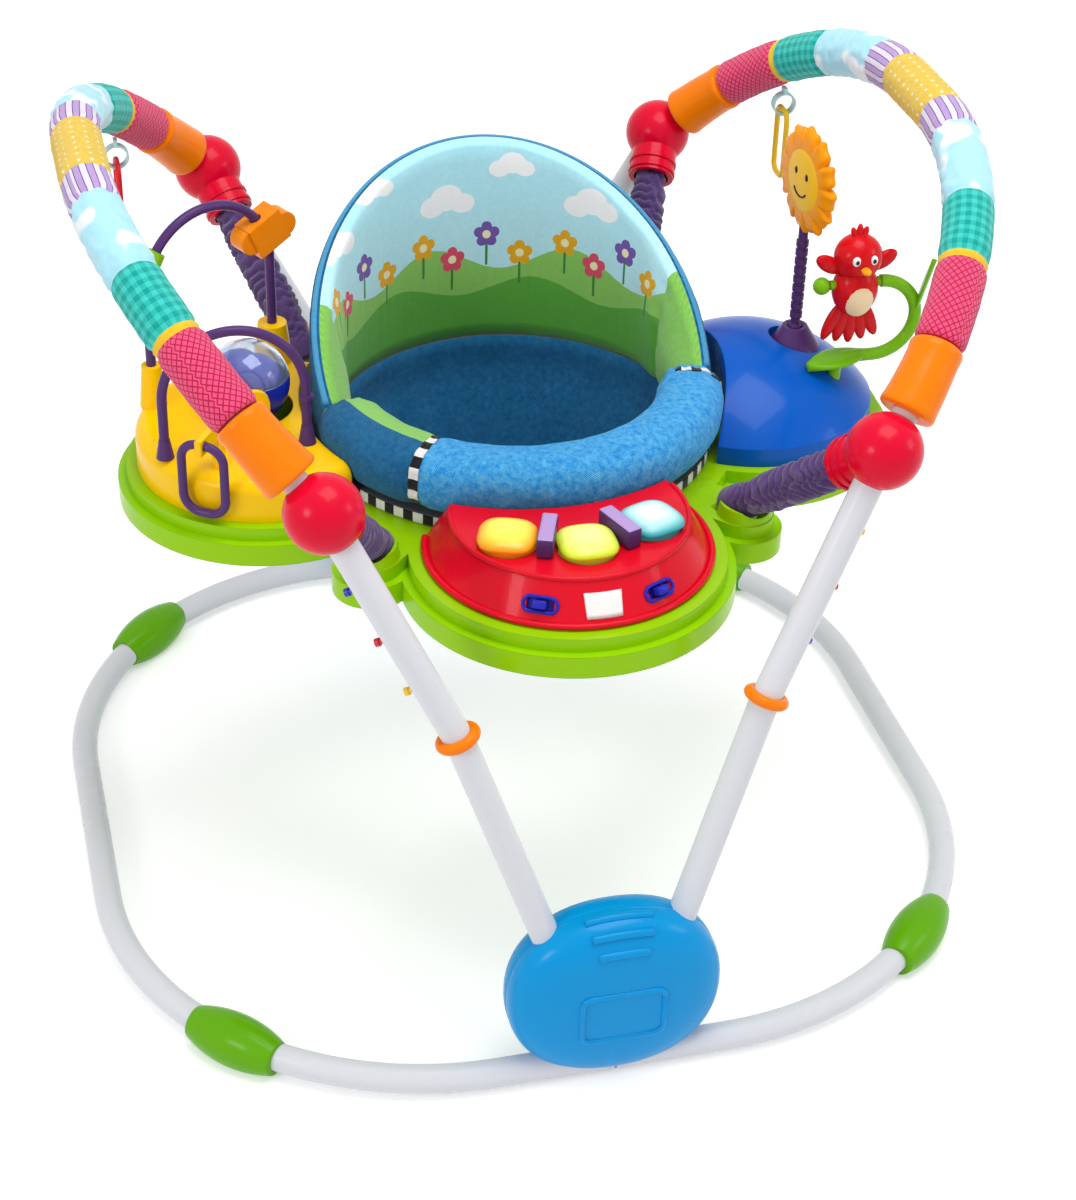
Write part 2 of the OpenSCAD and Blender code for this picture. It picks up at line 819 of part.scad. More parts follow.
module front_cone(in) {
    translate([0, -front_y, station_z - (in > 0 ? 1 : 0)])
        cylinder(h = front_h - in, r1 = front_low_r - in, r2 = front_top_r - in);
}

module at_switch(s) {
    up = switch_z - station_z;
    out = front_low_r - up * (front_low_r - front_top_r) / front_h;
    translate([0, -front_y, switch_z]) rotate([0, 0, s * switch_az]) translate([0, -out, 0])
        rotate([-cone_tilt, 0, 0]) children();
}

module front_station() {
    slot = [26, 20, 11];
    color("red") difference() {
        front_cone(0);
        difference() {
            front_cone(shell);
            cylinder(h = big, r = clear_r + 2 * shell);
        }
        cylinder(h = big, r = clear_r + shell);
        for (at = keys_at) translate([at[0], at[1], front_top - 20]) cylinder(h = 40, r = key_r + 0.5);
        for (s = [-1, 1]) at_switch(s) cube(slot, center = true);
    }
}

// Dome key: a drum that runs in the housing under a round crown
module key(at) {
    drum = 12 + key_travel;
    crown = 10;
    crown_r = (key_r * key_r + crown * crown) / (2 * crown);
    translate([at[0], at[1], front_top - drum + 1]) rotate_extrude() intersection() {
        translate([0, drum + crown - crown_r]) circle(crown_r);
        square([key_r, drum + crown]);
    }
}

// Raised bars between the keys
module key_dividers() {
    bar = [16, 50, 20];
    at = (keys_at[1] + keys_at[2]) / 2;
    turn = atan2(keys_at[2][1] - keys_at[1][1], keys_at[2][0] - keys_at[1][0]);
    color("rebeccapurple") for (s = [-1, 1])
        translate([s * at[0], at[1], front_top]) rotate([0, 0, s * turn])
            translate([-bar[0] / 2, -bar[1] / 2, 0]) cube(bar);
}

module slide_switch(s) {
    knob = [13, 14, 8];
    color("mediumblue") at_switch(s) translate([0, -1, 0]) cube(knob, center = true);
}

// Right station

module right_dome2d(in) {
    intersection() {
        translate([0, right_h - dome_r]) circle(dome_r - in, $fn = 180);
        square([right_r - in, right_h]);
    }
}

module right_station() {
    color("royalblue") difference() {
        translate([right_x, 0, station_z]) rotate_extrude() right_dome2d(0);
        difference() {
            translate([right_x, 0, station_z - 1]) rotate_extrude() right_dome2d(shell);
            cylinder(h = big, r = clear_r + shell);
            translate([boot_at[0], boot_at[1], 0]) cylinder(h = big, r = boot_r + 3);
            translate([branch_foot_x, bird_y, 0]) cylinder(h = big, r = branch_d / 2 + 3);
        }
        cylinder(h = big, r = clear_r);
        translate([boot_at[0], boot_at[1], boot_z]) cylinder(h = 60, r = boot_r + sock_gap);
        translate([branch_foot_x, bird_y, branch_foot_z]) cylinder(h = 60, r = branch_d / 2 + sock_gap);
    }
}

// Flared boot with a round cup for the stalk's foot
module stalk_boot() {
    pivot = stalk_pivot_z - boot_z;
    cup = stalk_ball_r + 0.5;
    color("rebeccapurple") translate([boot_at[0], boot_at[1], boot_z]) rotate_extrude() difference() {
        polygon([[0, 0], [boot_r, 0], [boot_r, 4], [stalk_ball_r + 6, boot_h], [0, boot_h]]);
        translate([0, pivot]) circle(cup);
        polygon([[0, pivot], [cup, pivot], [cup + 2.5, boot_h + 1], [0, boot_h + 1]]);
    }
}

// Ribbed stalk on a round foot that tips in the boot
module stalk() {
    ribs = 9;
    core = stalk_d / 2 - 1.5;
    length = sun_z - sun_r + 14 - stalk_pivot_z;
    step = (length - 30) / ribs;
    color("rebeccapurple") translate([boot_at[0], boot_at[1], stalk_pivot_z])
        rotate_extrude() intersection() {
            union() {
                circle(stalk_ball_r);
                square([core, length]);
                for (k = [0 : ribs - 1]) translate([0, 12 + k * step]) square([stalk_d / 2, step * 0.6]);
            }
            translate([0, -50]) square([50, 400]);
        }
}

// Sun with scalloped rays, facing the seat
module sun() {
    rays = 12;
    ray_r = 10;
    disc_r = sun_r - ray_r;
    turn = 8;
    color("orange") translate([boot_at[0], boot_at[1], sun_z]) difference() {
        rotate([0, -90, turn]) translate([0, 0, -sun_t / 2]) union() {
            cylinder(h = sun_t, r = disc_r);
            for (k = [0 : rays - 1]) rotate([0, 0, (k + 0.5) * 360 / rays])
                translate([disc_r, 0, 3]) cylinder(h = sun_t - 6, r = ray_r);
        }
        translate([0, 0, -sun_r - 20]) cylinder(h = 20 + 14, r = stalk_d / 2 - 1.5 + sock_gap);
    }
}

// Curved branch with a straight pin that carries the bird
module branch() {
    r = branch_d / 2;
    pin_len = branch_x - bird_x + bird_half + 12;
    color("limegreen") translate([0, bird_y, 0]) union() {
        translate([branch_foot_x, 0, branch_foot_z])
            cylinder(h = branch_low_z - branch_bend - branch_foot_z, r = r);
        translate([branch_foot_x + branch_bend, 0, branch_low_z - branch_bend]) rotate([90, 0, 0])
            rotate([0, 0, 90]) rotate_extrude(angle = 90) translate([branch_bend, 0]) circle(r);
        translate([branch_foot_x + branch_bend, 0, branch_low_z]) rotate([0, 90, 0])
            cylinder(h = branch_x - branch_foot_x - branch_bend, r = r);
        translate([branch_x, 0, branch_low_z + branch_r]) rotate([90, 0, 0]) rotate([0, 0, -90])
            rotate_extrude(angle = 180) translate([branch_r, 0]) circle(r);
        translate([branch_x, 0, bird_z]) rotate([0, -90, 0]) cylinder(h = pin_len, r = pin_r);
        translate([branch_x - pin_len, 0, bird_z]) sphere(9);
    }
}

// Bird that swings on the branch's pin: head, body, tail skirt and two wings
module bird() {
    drop = 8;
    color("crimson") translate([bird_x, bird_y, bird_z]) difference() {
        intersection() {
            translate([0, 0, -drop]) union() {
                translate([0, 0, 40]) sphere(30);
                sphere(27);
                translate([0, 0, -62]) cylinder(h = 52, r1 = 30, r2 = 17);
                for (s = [-1, 1]) translate([s * 22, 0, 22]) rotate([90, 0, 0])
                    cylinder(h = 12, r = 12, center = true);
            }
            cube([66, 120, 180], center = true);
        }
        rotate([0, 90, 0]) cylinder(h = 200, r = pin_r + 0.4, center = true);
        for (s = [0, 1]) mirror([s, 0, 0]) translate([bird_half, -60, -14]) cube([60, 120, 28]);
    }
}

// Seat

module at_seat() {
    rotate([0, 0, -seat_turn]) children();
}

module seat_ring() {
    wall_h = flange_z - tray_low - 6;
    color("dimgray") at_seat() rotate_extrude() union() {
        translate([seat_wall_r - ring_wall, tray_low + 6]) square([ring_wall, wall_h + 1]);
        translate([seat_wall_r - ring_wall, flange_z])
            square([back_r - seat_wall_r + ring_wall, flange_h]);
    }
}

roll_half = 79;   // half angle of the front roll, from the front
back_half = 100;  // half angle of the seat back, from the rear
function bump(x, w) = exp(-x * x / (w * w));

// Padded front roll, drawn in where its panels are sewn
module seat_roll() {
    steps = 52;
    sides = 16;
    rows = [for (i = [0 : steps])
        let (a = -roll_half + 2 * roll_half * i / steps,
            pinch = 1 - 0.12 * bump(abs(a) - 50, 5) - 0.16 * bump(abs(a) - roll_half, 5),
            r = roll_d / 2 * pinch)
        [for (j = [0 : sides - 1])
            let (b = -360 * j / sides, out = roll_r + r * cos(b))
                [out * sin(a), -out * cos(a), pad_z + roll_d / 2 + r * sin(b)]]];
    color("steelblue") at_seat() skin(rows);
}

function back_top(a) = pad_z + back_side_h + back_rise * cos(a * 0.9);
function back_swell(a) = bolster * (0.5 - 0.5 * cos(180 * min(1, max(0, (abs(a) - 56) / 24))));
function back_dip(a) = 3 * bump(abs(a) - 36, 3) + 3 * bump(abs(a) - 72, 3);

// Tall curved back: falls towards its sides, where it swells into bolsters
module seat_back() {
    steps = 64;
    rows = [for (i = [0 : steps])
        let (a = -back_half + 2 * back_half * i / steps, h = back_top(a) - pad_z,
            out = back_r - back_dip(a), in = back_r - back_t, swell = back_swell(a),
            section = [[in - swell * 0.7, 0], [in - swell, h * 0.35], [in - swell * 0.3, h * 0.7],
                [in + 1, h - 6], [in + 4, h - 1.5], [out - back_t / 2, h], [out - 4, h - 1.5],
                [out - 1, h - 6], [out, h * 0.6], [out, h * 0.3], [out - 3, 0]])
        [for (p = section) [p[0] * sin(a), p[0] * cos(a), pad_z + p[1]]]];
    color("skyblue") at_seat() skin(rows);
}

// Cloth bucket below the ring, with two leg holes
module seat_sling() {
    wall = 4;
    top_r = seat_wall_r - ring_wall - fit_gap;
    low_r = 128;
    low_z = tray_z - sling_depth;
    mid_z = tray_low + 10;
    top_z = flange_z + flange_h;
    color("steelblue") at_seat() difference() {
        rotate_extrude() polygon([[0, low_z], [low_r, low_z], [top_r, mid_z], [top_r, top_z],
            [top_r - wall, top_z], [top_r - wall, mid_z + 2], [low_r - 2, low_z + wall],
            [0, low_z + wall]]);
        for (s = [-1, 1]) translate([s * (leg_hole_r + 12), -24, low_z])
            cylinder(h = 60, r = leg_hole_r, center = true);
    }
}

hub_half(-1, true);  // front_hub_cover
hub_half(-1, false);  // front_hub_back
hub_half(1, true);  // rear_hub_cover
hub_half(1, false);  // rear_hub_back
hub_tube(-1, -1);  // base_tube_front_left
hub_tube(1, -1);  // base_tube_front_right
side_tube(-1);  // base_tube_left
side_tube(1);  // base_tube_right
hub_tube(-1, 1);  // base_tube_rear_left
hub_tube(1, 1);  // base_tube_rear_right
foot(-1, -1);  // foot_front_left
foot(1, -1);  // foot_front_right
foot(-1, 1);  // foot_rear_left
foot(1, 1);  // foot_rear_right
leg(-1, -1);  // leg_front_left
leg(1, -1);  // leg_front_right
leg(-1, 1);  // leg_rear_left
leg(1, 1);  // leg_rear_right
leg_rings();
height_studs();
ball(-1, -1);  // ball_front_left
ball(1, -1);  // ball_front_right
ball(-1, 1);  // ball_rear_left
ball(1, 1);  // ball_rear_right
arch_sockets();
arch_tube(-1);  // arch_tube_left
arch_tube(1);  // arch_tube_right
arch_cover(-1);  // arch_cover_left
arch_cover(1);  // arch_cover_right
toy_loops();
swing_link(-1);  // link_left
swing_link(1);  // link_right
strap_sleeves();
bounce_springs();
tray_top();
tray_under();
left_station();
bead_wires();
roller_shell();
roller_window();
bead_block();
bead_twist();
grab_ring();
front_station();
color("orange") key(keys_at[0]);  // key_left
color("greenyellow") key(keys_at[1]);  // key_middle
color("turquoise") key(keys_at[2]);  // key_right
key_dividers();
slide_switch(-1);  // switch_left
slide_switch(1);  // switch_right
right_station();
stalk_boot();
stalk();
sun();
branch();
bird();
seat_ring();
seat_roll();
seat_back();
seat_sling();
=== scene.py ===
# %% [markdown]
# # A baby jumper, dressed for its picture
#
# The frame comes from CAD: tubes, feet, balls, tray, toy stations. Those pieces are hard and exact,
# so here they only get a finish. The soft goods (arch covers, strap sleeves, seat, sling) are
# modelled here, because cloth is never as plain as a CAD solid, and so are the fuller mouldings:
# sockets, hubs, sun, bird and keys. Lengths are metres in the frame's own axes: front towards -Y,
# +Z up. The helper `mm` lets the cells speak in millimetres, as the object's drawing does.

# %% Frame
import json
from math import atan2, cos, exp, hypot, pi, radians, sin

import bmesh
import bpy
from mathutils import Matrix, Vector


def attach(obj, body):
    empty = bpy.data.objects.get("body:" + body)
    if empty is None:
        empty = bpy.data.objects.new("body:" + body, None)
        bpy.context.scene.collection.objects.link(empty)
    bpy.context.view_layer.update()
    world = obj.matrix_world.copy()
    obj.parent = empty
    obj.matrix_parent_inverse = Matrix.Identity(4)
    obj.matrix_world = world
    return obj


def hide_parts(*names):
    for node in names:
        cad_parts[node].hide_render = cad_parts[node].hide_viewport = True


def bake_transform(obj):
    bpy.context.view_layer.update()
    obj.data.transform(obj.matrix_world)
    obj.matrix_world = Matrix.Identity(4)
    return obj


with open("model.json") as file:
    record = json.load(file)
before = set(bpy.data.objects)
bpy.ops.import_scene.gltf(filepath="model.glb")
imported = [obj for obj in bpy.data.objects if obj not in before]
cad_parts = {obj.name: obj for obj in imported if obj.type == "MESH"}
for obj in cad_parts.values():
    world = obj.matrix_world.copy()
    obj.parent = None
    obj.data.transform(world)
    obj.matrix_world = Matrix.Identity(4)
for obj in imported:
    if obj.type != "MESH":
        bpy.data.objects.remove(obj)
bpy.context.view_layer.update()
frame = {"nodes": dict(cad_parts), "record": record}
nodes = frame["nodes"]


def mm(*values):
    """Millimetres as a vector in metres."""
    return Vector(values) / 1000


def spread(low, high, count):
    """Evenly spaced numbers from low to high, both included: count steps."""
    return [low + (high - low) * i / count for i in range(count + 1)]


def turns(count):
    """Evenly spaced angles of one full turn, without the last."""
    return [2 * pi * j / count for j in range(count)]


SIDES = ((-1, "left"), (1, "right"))
ENDS = ((-1, "front"), (1, "rear"))

# %% [markdown]
# ## Camera and light
#
# The photo is a product shot on a white sweep, taken from above and a little to the left. The
# camera was fitted to the frame's corners: a long lens, so the frame hardly tapers. Light is a
# plain studio set: one large soft box above, a weaker one from each side, and an even surround.

# %% Camera
scene = bpy.context.scene
scene.view_settings.view_transform = "Standard"


def aim_camera(at, yaw, pitch, roll, lens):
    """A camera from its place and its three angles, in radians."""
    turn = (Matrix.Rotation(-yaw, 4, "Z") @ Matrix.Rotation(pi / 2 - pitch, 4, "X")
            @ Matrix.Rotation(roll, 4, "Z"))
    data = bpy.data.cameras.new("photo_camera")
    data.lens = lens
    data.sensor_fit = "AUTO"
    data.clip_end = 50
    camera = bpy.data.objects.new("photo_camera", data)
    camera.matrix_world = Matrix.Translation(at) @ turn
    scene.collection.objects.link(camera)
    scene.camera = camera
    return camera


camera = aim_camera(mm(-545.66, -2150.58, 1763.79), 0.2633, 0.5962, 0.0291, 74.19)
print("camera with a lens of", round(camera.data.lens), "mm")

# %% Lamps
LOOK_AT = Vector((0, 0, 0.4))


def soft_box(name, at, size, watts):
    """A square area light that looks at the middle of the frame."""
    data = bpy.data.lights.new(name, "AREA")
    data.size = size
    data.energy = watts
    lamp = bpy.data.objects.new(name, data)
    lamp.location = at
    lamp.rotation_euler = (LOOK_AT - Vector(at)).to_track_quat("-Z", "Y").to_euler()
    scene.collection.objects.link(lamp)
    print(name, watts, "W")


soft_box("top_light", (0.3, -0.4, 3.2), 1.7, 48)
soft_box("left_light", (-2.6, -1.6, 1.8), 0.9, 22)
soft_box("right_light", (2.6, -1.2, 1.6), 0.9, 10)

# %% [markdown]
# ## Node graphs
#
# Wiring a shader line by line hides the idea. This class gives the few words needed here: sums, a
# mix of two colours, bands, noise, and the two coordinates of the UV map. A value can be a number,
# a hex colour or another node's socket.

# %% Graph words
WHITE = (1, 1, 1, 1)


def linear(code):
    """A hex colour as linear light."""
    values = [int(code[i:i + 2], 16) / 255 for i in (0, 2, 4)]
    return [v / 12.92 if v <= 0.04045 else ((v + 0.055) / 1.055) ** 2.4 for v in values] + [1.0]


class Graph:
    """Short words for building a node tree."""

    def __init__(self, tree):
        self.nodes, self.link = tree.nodes, tree.links.new

    def put(self, socket, value):
        """Links a socket, or sets a number or a colour."""
        if hasattr(value, "is_linked"):
            self.link(value, socket)
        else:
            socket.default_value = linear(value) if isinstance(value, str) else value

    def fill(self, node, sockets):
        """Values for named sockets; an underscore stands for a space."""
        for name, value in sockets.items():
            self.put(node.inputs[name.replace("_", " ")], value)
        return node

    def add(self, kind, operation=None, **sockets):
        """A new node with these values on its sockets."""
        node = self.nodes.new("ShaderNode" + kind)
        if operation:
            node.operation = operation
        return self.fill(node, sockets)

    def place(self, tree, **sockets):
        """A node group put to use; returns its outputs."""
        node = self.nodes.new("ShaderNodeGroup")
        node.node_tree = tree
        return self.fill(node, sockets).outputs

    def math(self, operation, *values):
        node = self.add("Math", operation)
        for socket, value in zip(node.inputs, values):
            self.put(socket, value)
        return node.outputs[0]

    def length(self, a, b):
        """How far a place is from the zero point."""
        squares = [self.math("MULTIPLY", side, side) for side in (a, b)]
        return self.math("SQRT", self.math("ADD", *squares))

    def mix(self, factor, a, b):
        """Colour a where the factor is 0 and colour b where it is 1."""
        node = self.nodes.new("ShaderNodeMix")
        node.data_type = "RGBA"
        self.link(factor, node.inputs["Factor"])
        self.put(node.inputs[6], a)
        self.put(node.inputs[7], b)
        return node.outputs[2]

    def ramp(self, value, low, high, to_low=0.0, to_high=1.0):
        """Maps one range of a value onto another."""
        node = self.add("MapRange", Value=value, From_Min=low, From_Max=high,
                        To_Min=to_low, To_Max=to_high)
        return node.outputs["Result"]

    def bands(self, value, period, width):
        """1 inside bands of this width that repeat with this period."""
        return self.math("LESS_THAN", self.math("PINGPONG", value, period / 2), width / 2)

    def noise(self, scale, detail, **more):
        """Noise in the object's own space."""
        at = self.add("TexCoord").outputs["Object"]
        return self.add("TexNoise", Vector=at, Scale=scale, Detail=detail, **more).outputs["Fac"]

    def uv(self):
        """The two coordinates of the millimetre UV map."""
        node = self.nodes.new("ShaderNodeUVMap")
        node.uv_map = "UVMap"
        split = self.add("SeparateXYZ", Vector=node.outputs["UV"])
        return split.outputs["X"], split.outputs["Y"]

    def shown_rays(self):
        """1 for rays that meet the white background: seen straight, mirrored or through glass."""
        rays = self.add("LightPath").outputs
        shown = self.math("MAXIMUM", rays["Is Camera Ray"], rays["Is Glossy Ray"])
        return self.math("MAXIMUM", shown, rays["Is Transmission Ray"])


print("words for node graphs")

# %% [markdown]
# ## Surround
#
# The surround shows as pure white but lights the scene less than it looks, so that pale plastic
# keeps its tone. Which strength counts depends on the kind of ray.

# %% White surround
FILL_LIGHT, SHOWN_LIGHT = 0.55, 1.0
world = bpy.data.worlds.new("studio")
world.use_nodes = True
scene.world = world
sky = Graph(world.node_tree)
surround = sky.fill(sky.nodes["Background"], {"Color": WHITE, "Strength": FILL_LIGHT})
seen = sky.add("Background", Color=WHITE, Strength=SHOWN_LIGHT)
either = sky.add("MixShader", Fac=sky.shown_rays())
sky.link(surround.outputs["Background"], either.inputs[1])
sky.link(seen.outputs["Background"], either.inputs[2])
sky.link(either.outputs["Shader"], sky.nodes["World Output"].inputs["Surface"])
print("surround: light", FILL_LIGHT, "and shown", SHOWN_LIGHT)

# %% [markdown]
# ## Mesh helpers
#
# Nearly every piece here is a tube, a band or a curved pad: rows of points that are joined into a
# closed skin. One helper builds such a skin with bmesh and gives it a UV map in millimetres, so
# that a weave or a printed pattern keeps its true scale wherever it is used.

# %% Skins


def piece(name, bm, materials, body=None, stands_for=(), smooth=True):
    """A finished bmesh as a named object that rides on a CAD body and may replace CAD nodes."""
    bmesh.ops.recalc_face_normals(bm, faces=bm.faces)
    mesh = bpy.data.meshes.new(name)
    bm.to_mesh(mesh)
    bm.free()
    for material in materials:
        mesh.materials.append(material)
    if smooth:
        mesh.polygons.foreach_set("use_smooth", [True] * len(mesh.polygons))
    obj = bpy.data.objects.new(name, mesh)
    scene.collection.objects.link(obj)
    if body:
        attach(obj, body)
    if stands_for:
        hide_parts(*stands_for)
    return obj


def skin_rows(bm, rows, uv_rows, pick=None, closed=True, capped=True, leave_out=None):
    """Joins rows of points. A closed row is a ring, and then the first and last can be capped."""
    uv = bm.loops.layers.uv.get("UVMap") or bm.loops.layers.uv.new("UVMap")
    count = len(rows[0])
    made = [[bm.verts.new(p) for p in row] for row in rows]
    for i in range(len(rows) - 1):
        for j in range(count if closed else count - 1):
            k = (j + 1) % count
            corners = (made[i][j], made[i][k], made[i + 1][k], made[i + 1][j])
            if leave_out and leave_out(corners):
                continue
            face = bm.faces.new(corners)
            places = ((i, j), (i, j + 1), (i + 1, j + 1), (i + 1, j))
            for loop, place in zip(face.loops, places):
                loop[uv].uv = uv_rows(*place)
            if pick:
                face.material_index = pick(i, j)
    if closed and capped:
        first = bm.faces.new(made[0])
        bm.faces.new(made[-1])
        first.material_index = pick(0, 0) if pick else 0
    return made


def rings(sides, point, stations):
    """Rings of points: point(angle, *station) at each station."""
    return [[point(a, *station) for a in turns(sides)] for station in stations]


def skinned(name, rows, uv_rows, materials, body, stands_for=(), pick=None):
    """A piece made of one closed skin."""
    bm = bmesh.new()
    skin_rows(bm, rows, uv_rows, pick)
    return piece(name, bm, materials, body, stands_for)


print("skins from rows of points")

# %% Tubes and waves


def tube_rows(path, radius, sides):
    """Rings of points round a path of points; radius is a function of the row and the angle."""
    rows = []
    side = None
    for i, p in enumerate(path):
        ahead = (path[min(i + 1, len(path) - 1)] - path[max(i - 1, 0)]).normalized()
        if side is None:
            side = ahead.orthogonal().normalized()
        side = (side - ahead * side.dot(ahead)).normalized()
        other = ahead.cross(side)
        rows.append([p + (side * cos(a) + other * sin(a)) * radius(i, a) for a in turns(sides)])
    return rows


def path_lengths(path):
    """Distance along a path at each of its points, in millimetres."""
    out = [0.0]
    for a, b in zip(path, path[1:]):
        out.append(out[-1] + (b - a).length * 1000)
    return out


def tube(name, path, radius, sides, material, body):
    """A closed tube of soft or hard stuff along a path."""
    along = path_lengths(path)
    reach = radius if callable(radius) else (lambda i, a: radius)
    around = 2 * pi * reach(0, 0) * 1000 / sides
    return skinned(name, tube_rows(path, reach, sides), lambda i, j: (along[i], j * around),
                   [material], body)


def thicken(obj, metres):
    """Gives a sheet of faces its thickness, half to each side."""
    thick = obj.modifiers.new("thickness", "SOLIDIFY")
    thick.thickness = metres
    thick.offset = 0


def ripple(x, y, seed):
    """A smooth made-up wave from -1 to 1, the same each time."""
    return (sin(1.7 * x + 2.3 * y + seed) + sin(2.9 * x - 1.3 * y + 2.1 * seed)
            + sin(0.8 * x + 4.1 * y - 1.7 * seed)) / 3


def squared(a, b, power):
    """Length of (a, b) for a circle that gets squarer as the power rises over 2."""
    return (abs(a) ** power + abs(b) ** power) ** (1 / power)


print("tubes, strips' thickness and waves")

# %% [markdown]
# ## Stuffing
#
# A padded piece is a bag of cloth with filling in it. The bag is built flat-sided and then blown up
# by a short cloth simulation: its seams are held, the rest swells and gathers into small creases.
# The result is kept as the mesh, with no point moved further than the cap.

# %% Cloth simulation
PUFF_FRAMES = 20
BAG = {"quality": 5, "mass": 0.25, "tension_stiffness": 18, "compression_stiffness": 12,
       "shear_stiffness": 5, "bending_stiffness": 0.3, "use_pressure": True,
       "uniform_pressure_force": 3.0, "vertex_group_mass": "seams"}


def puff(obj, sewn, cap):
    """Swells a bag of cloth; sewn(number of a point) is true where a seam keeps it."""
    mesh = obj.data
    rest = [v.co.copy() for v in mesh.vertices]
    seams = obj.vertex_groups.new(name="seams")
    seams.add([i for i in range(len(rest)) if sewn(i)], 1.0, "REPLACE")
    stuffing = obj.modifiers.new("stuffing", "CLOTH")
    for name, value in BAG.items():
        setattr(stuffing.settings, name, value)
    stuffing.settings.effector_weights.gravity = 0
    stuffing.collision_settings.use_collision = False
    for number in range(1, PUFF_FRAMES + 1):
        scene.frame_set(number)
    shaped = obj.evaluated_get(bpy.context.evaluated_depsgraph_get()).data
    moved = 0.0
    for vertex, was, now in zip(mesh.vertices, rest, [v.co.copy() for v in shaped.vertices]):
        step = now - was
        if step.length > cap:
            step *= cap / step.length
        moved = max(moved, step.length)
        vertex.co = was + step
    obj.modifiers.remove(stuffing)
    obj.vertex_groups.remove(seams)
    scene.frame_set(1)
    print(obj.name, "swelled by up to", round(moved * 1000, 1), "mm")


print("stuffing takes", PUFF_FRAMES, "frames")

# %% [markdown]
# ## Materials
#
# Moulded plastic has a glossy skin with a very slight wave from the mould, and its edges are never
# sharp, so a small rounding is worked into their shading. Cloth is rough, with a fine woven grain.
# Each effect is one node group that every plastic or every cloth shares.

# %% Node groups


def group(name, inputs, outputs):
    """An empty node group with number sockets; an output called Normal is a vector."""
    made = bpy.data.node_groups.new(name, "ShaderNodeTree")
    for names, way in ((inputs, "INPUT"), (outputs, "OUTPUT")):
        for socket in names:
            kind = "NodeSocketVector" if socket == "Normal" else "NodeSocketFloat"
            made.interface.new_socket(socket, in_out=way, socket_type=kind)
    start, end = made.nodes.new("NodeGroupInput"), made.nodes.new("NodeGroupOutput")
    return made, Graph(made), start.outputs, end.inputs


def build_mould_group():
    """A faint wave and rounded edges as a normal, and a roughness that wanders."""
    made, g, given, out = group("mould_wave", ["Height"], ["Normal", "Roughness"])
    edge = g.add("Bevel", Radius=0.002)
    edge.samples = 4
    bump = g.add("Bump", Distance=0.001, Strength=given["Height"], Height=g.noise(60, 2),
                 Normal=edge.outputs["Normal"])
    g.link(bump.outputs["Normal"], out["Normal"])
    g.link(g.ramp(g.noise(9, 6), 0, 1, 0.2, 0.36), out["Roughness"])
    return made


def build_weave_group():
    """Threads over and under in a millimetre UV map, as a normal and a light grain."""
    made, g, given, out = group("weave", ["Thread", "Depth"], ["Normal", "Grain"])
    waves = [g.math("SINE", g.math("MULTIPLY", side, given["Thread"])) for side in g.uv()]
    grain = g.math("MULTIPLY_ADD", g.math("MULTIPLY", *waves), 0.5, g.noise(220, 4))
    bump = g.add("Bump", Distance=0.0012, Strength=given["Depth"], Height=grain)
    g.link(bump.outputs["Normal"], out["Normal"])
    g.link(grain, out["Grain"])
    return made


MOULD = build_mould_group()
WEAVE = build_weave_group()
print("node groups:", MOULD.name, "and", WEAVE.name)

# %% Plastic and cloth
CLEAR_OVER, CLEAR_ROUGH = 0.5, 0.05


def new_material(name, **sockets):
    """A material, its graph and its shader's sockets, with these values on the shader."""
    made = bpy.data.materials.new(name)
    made.use_nodes = True
    g = Graph(made.node_tree)
    return made, g, g.fill(g.nodes["Principled BSDF"], sockets).inputs


def plastic(name, code, wave=0.05, coat=0.1, through=0.0):
    """Glossy moulded plastic; `through` lets light pass, as in a clear cap."""
    made, g, shader = new_material(
        name, Base_Color=code, Coat_Weight=coat, Coat_Roughness=0.05, Specular_IOR_Level=0.12,
        Transmission_Weight=through, IOR=1.46)
    skin = g.place(MOULD, Height=wave)
    g.link(skin["Normal"], shader["Normal"])
    g.put(shader["Roughness"], CLEAR_ROUGH if through > CLEAR_OVER else skin["Roughness"])
    return made


def cloth_base(name, thread=4.2, depth=0.35, rough=0.9, sheen=0.25):
    """Cloth with its weave wired in: its graph, and a function that dyes it."""
    made, g, shader = new_material(name, Roughness=rough, Sheen_Weight=sheen, Sheen_Roughness=0.5,
                                   Specular_IOR_Level=0.1)
    weave = g.place(WEAVE, Thread=thread, Depth=depth)
    g.link(weave["Normal"], shader["Normal"])

    def dye(colour, low=0.82, high=1.12):
        """Gives the cloth its colour, lighter and darker with the grain; returns the material."""
        tint = g.add("VectorMath", "SCALE", Scale=g.ramp(weave["Grain"], 0, 1, low, high))
        g.put(tint.inputs[0], linear(colour)[:3] if isinstance(colour, str) else colour)
        g.link(tint.outputs["Vector"], shader["Base Color"])
        return made

    return g, dye


def cloth(name, code, **kind):
    """Plain cloth of one colour."""
    return cloth_base(name, **kind)[1](code)


print("shaders for plastic and cloth")

# %% [markdown]
# ## Finishes of the hard pieces
#
# Each CAD piece takes one finish. Colours are read from the photo and kept a little deeper, since
# the picture is brightly lit. The steel tubes are white enamel, with less of a wave.

# %% Plastic finishes
STUD_STEPS = (0.471, 0.521)
GLOSSY = {
    "hub_blue": "0096DA", "foot_green": "66AE05", "orange_plastic": "FB8000", "ball_red": "E00230",
    "link_red": "E0202C", "link_yellow": "F3C32E", "tray_green": "97CF04",
    "station_yellow": "FFCA00", "station_red": "E00C26", "station_blue": "0058BE",
    "toy_purple": "54346E", "roller_blue": "1A30BC", "block_orange": "FB8E0A",
    "bead_green": "86BE18", "switch_blue": "262AB4", "sun_orange": "FF9C00",
    "branch_green": "77B80E", "bird_red": "D40E18",
}


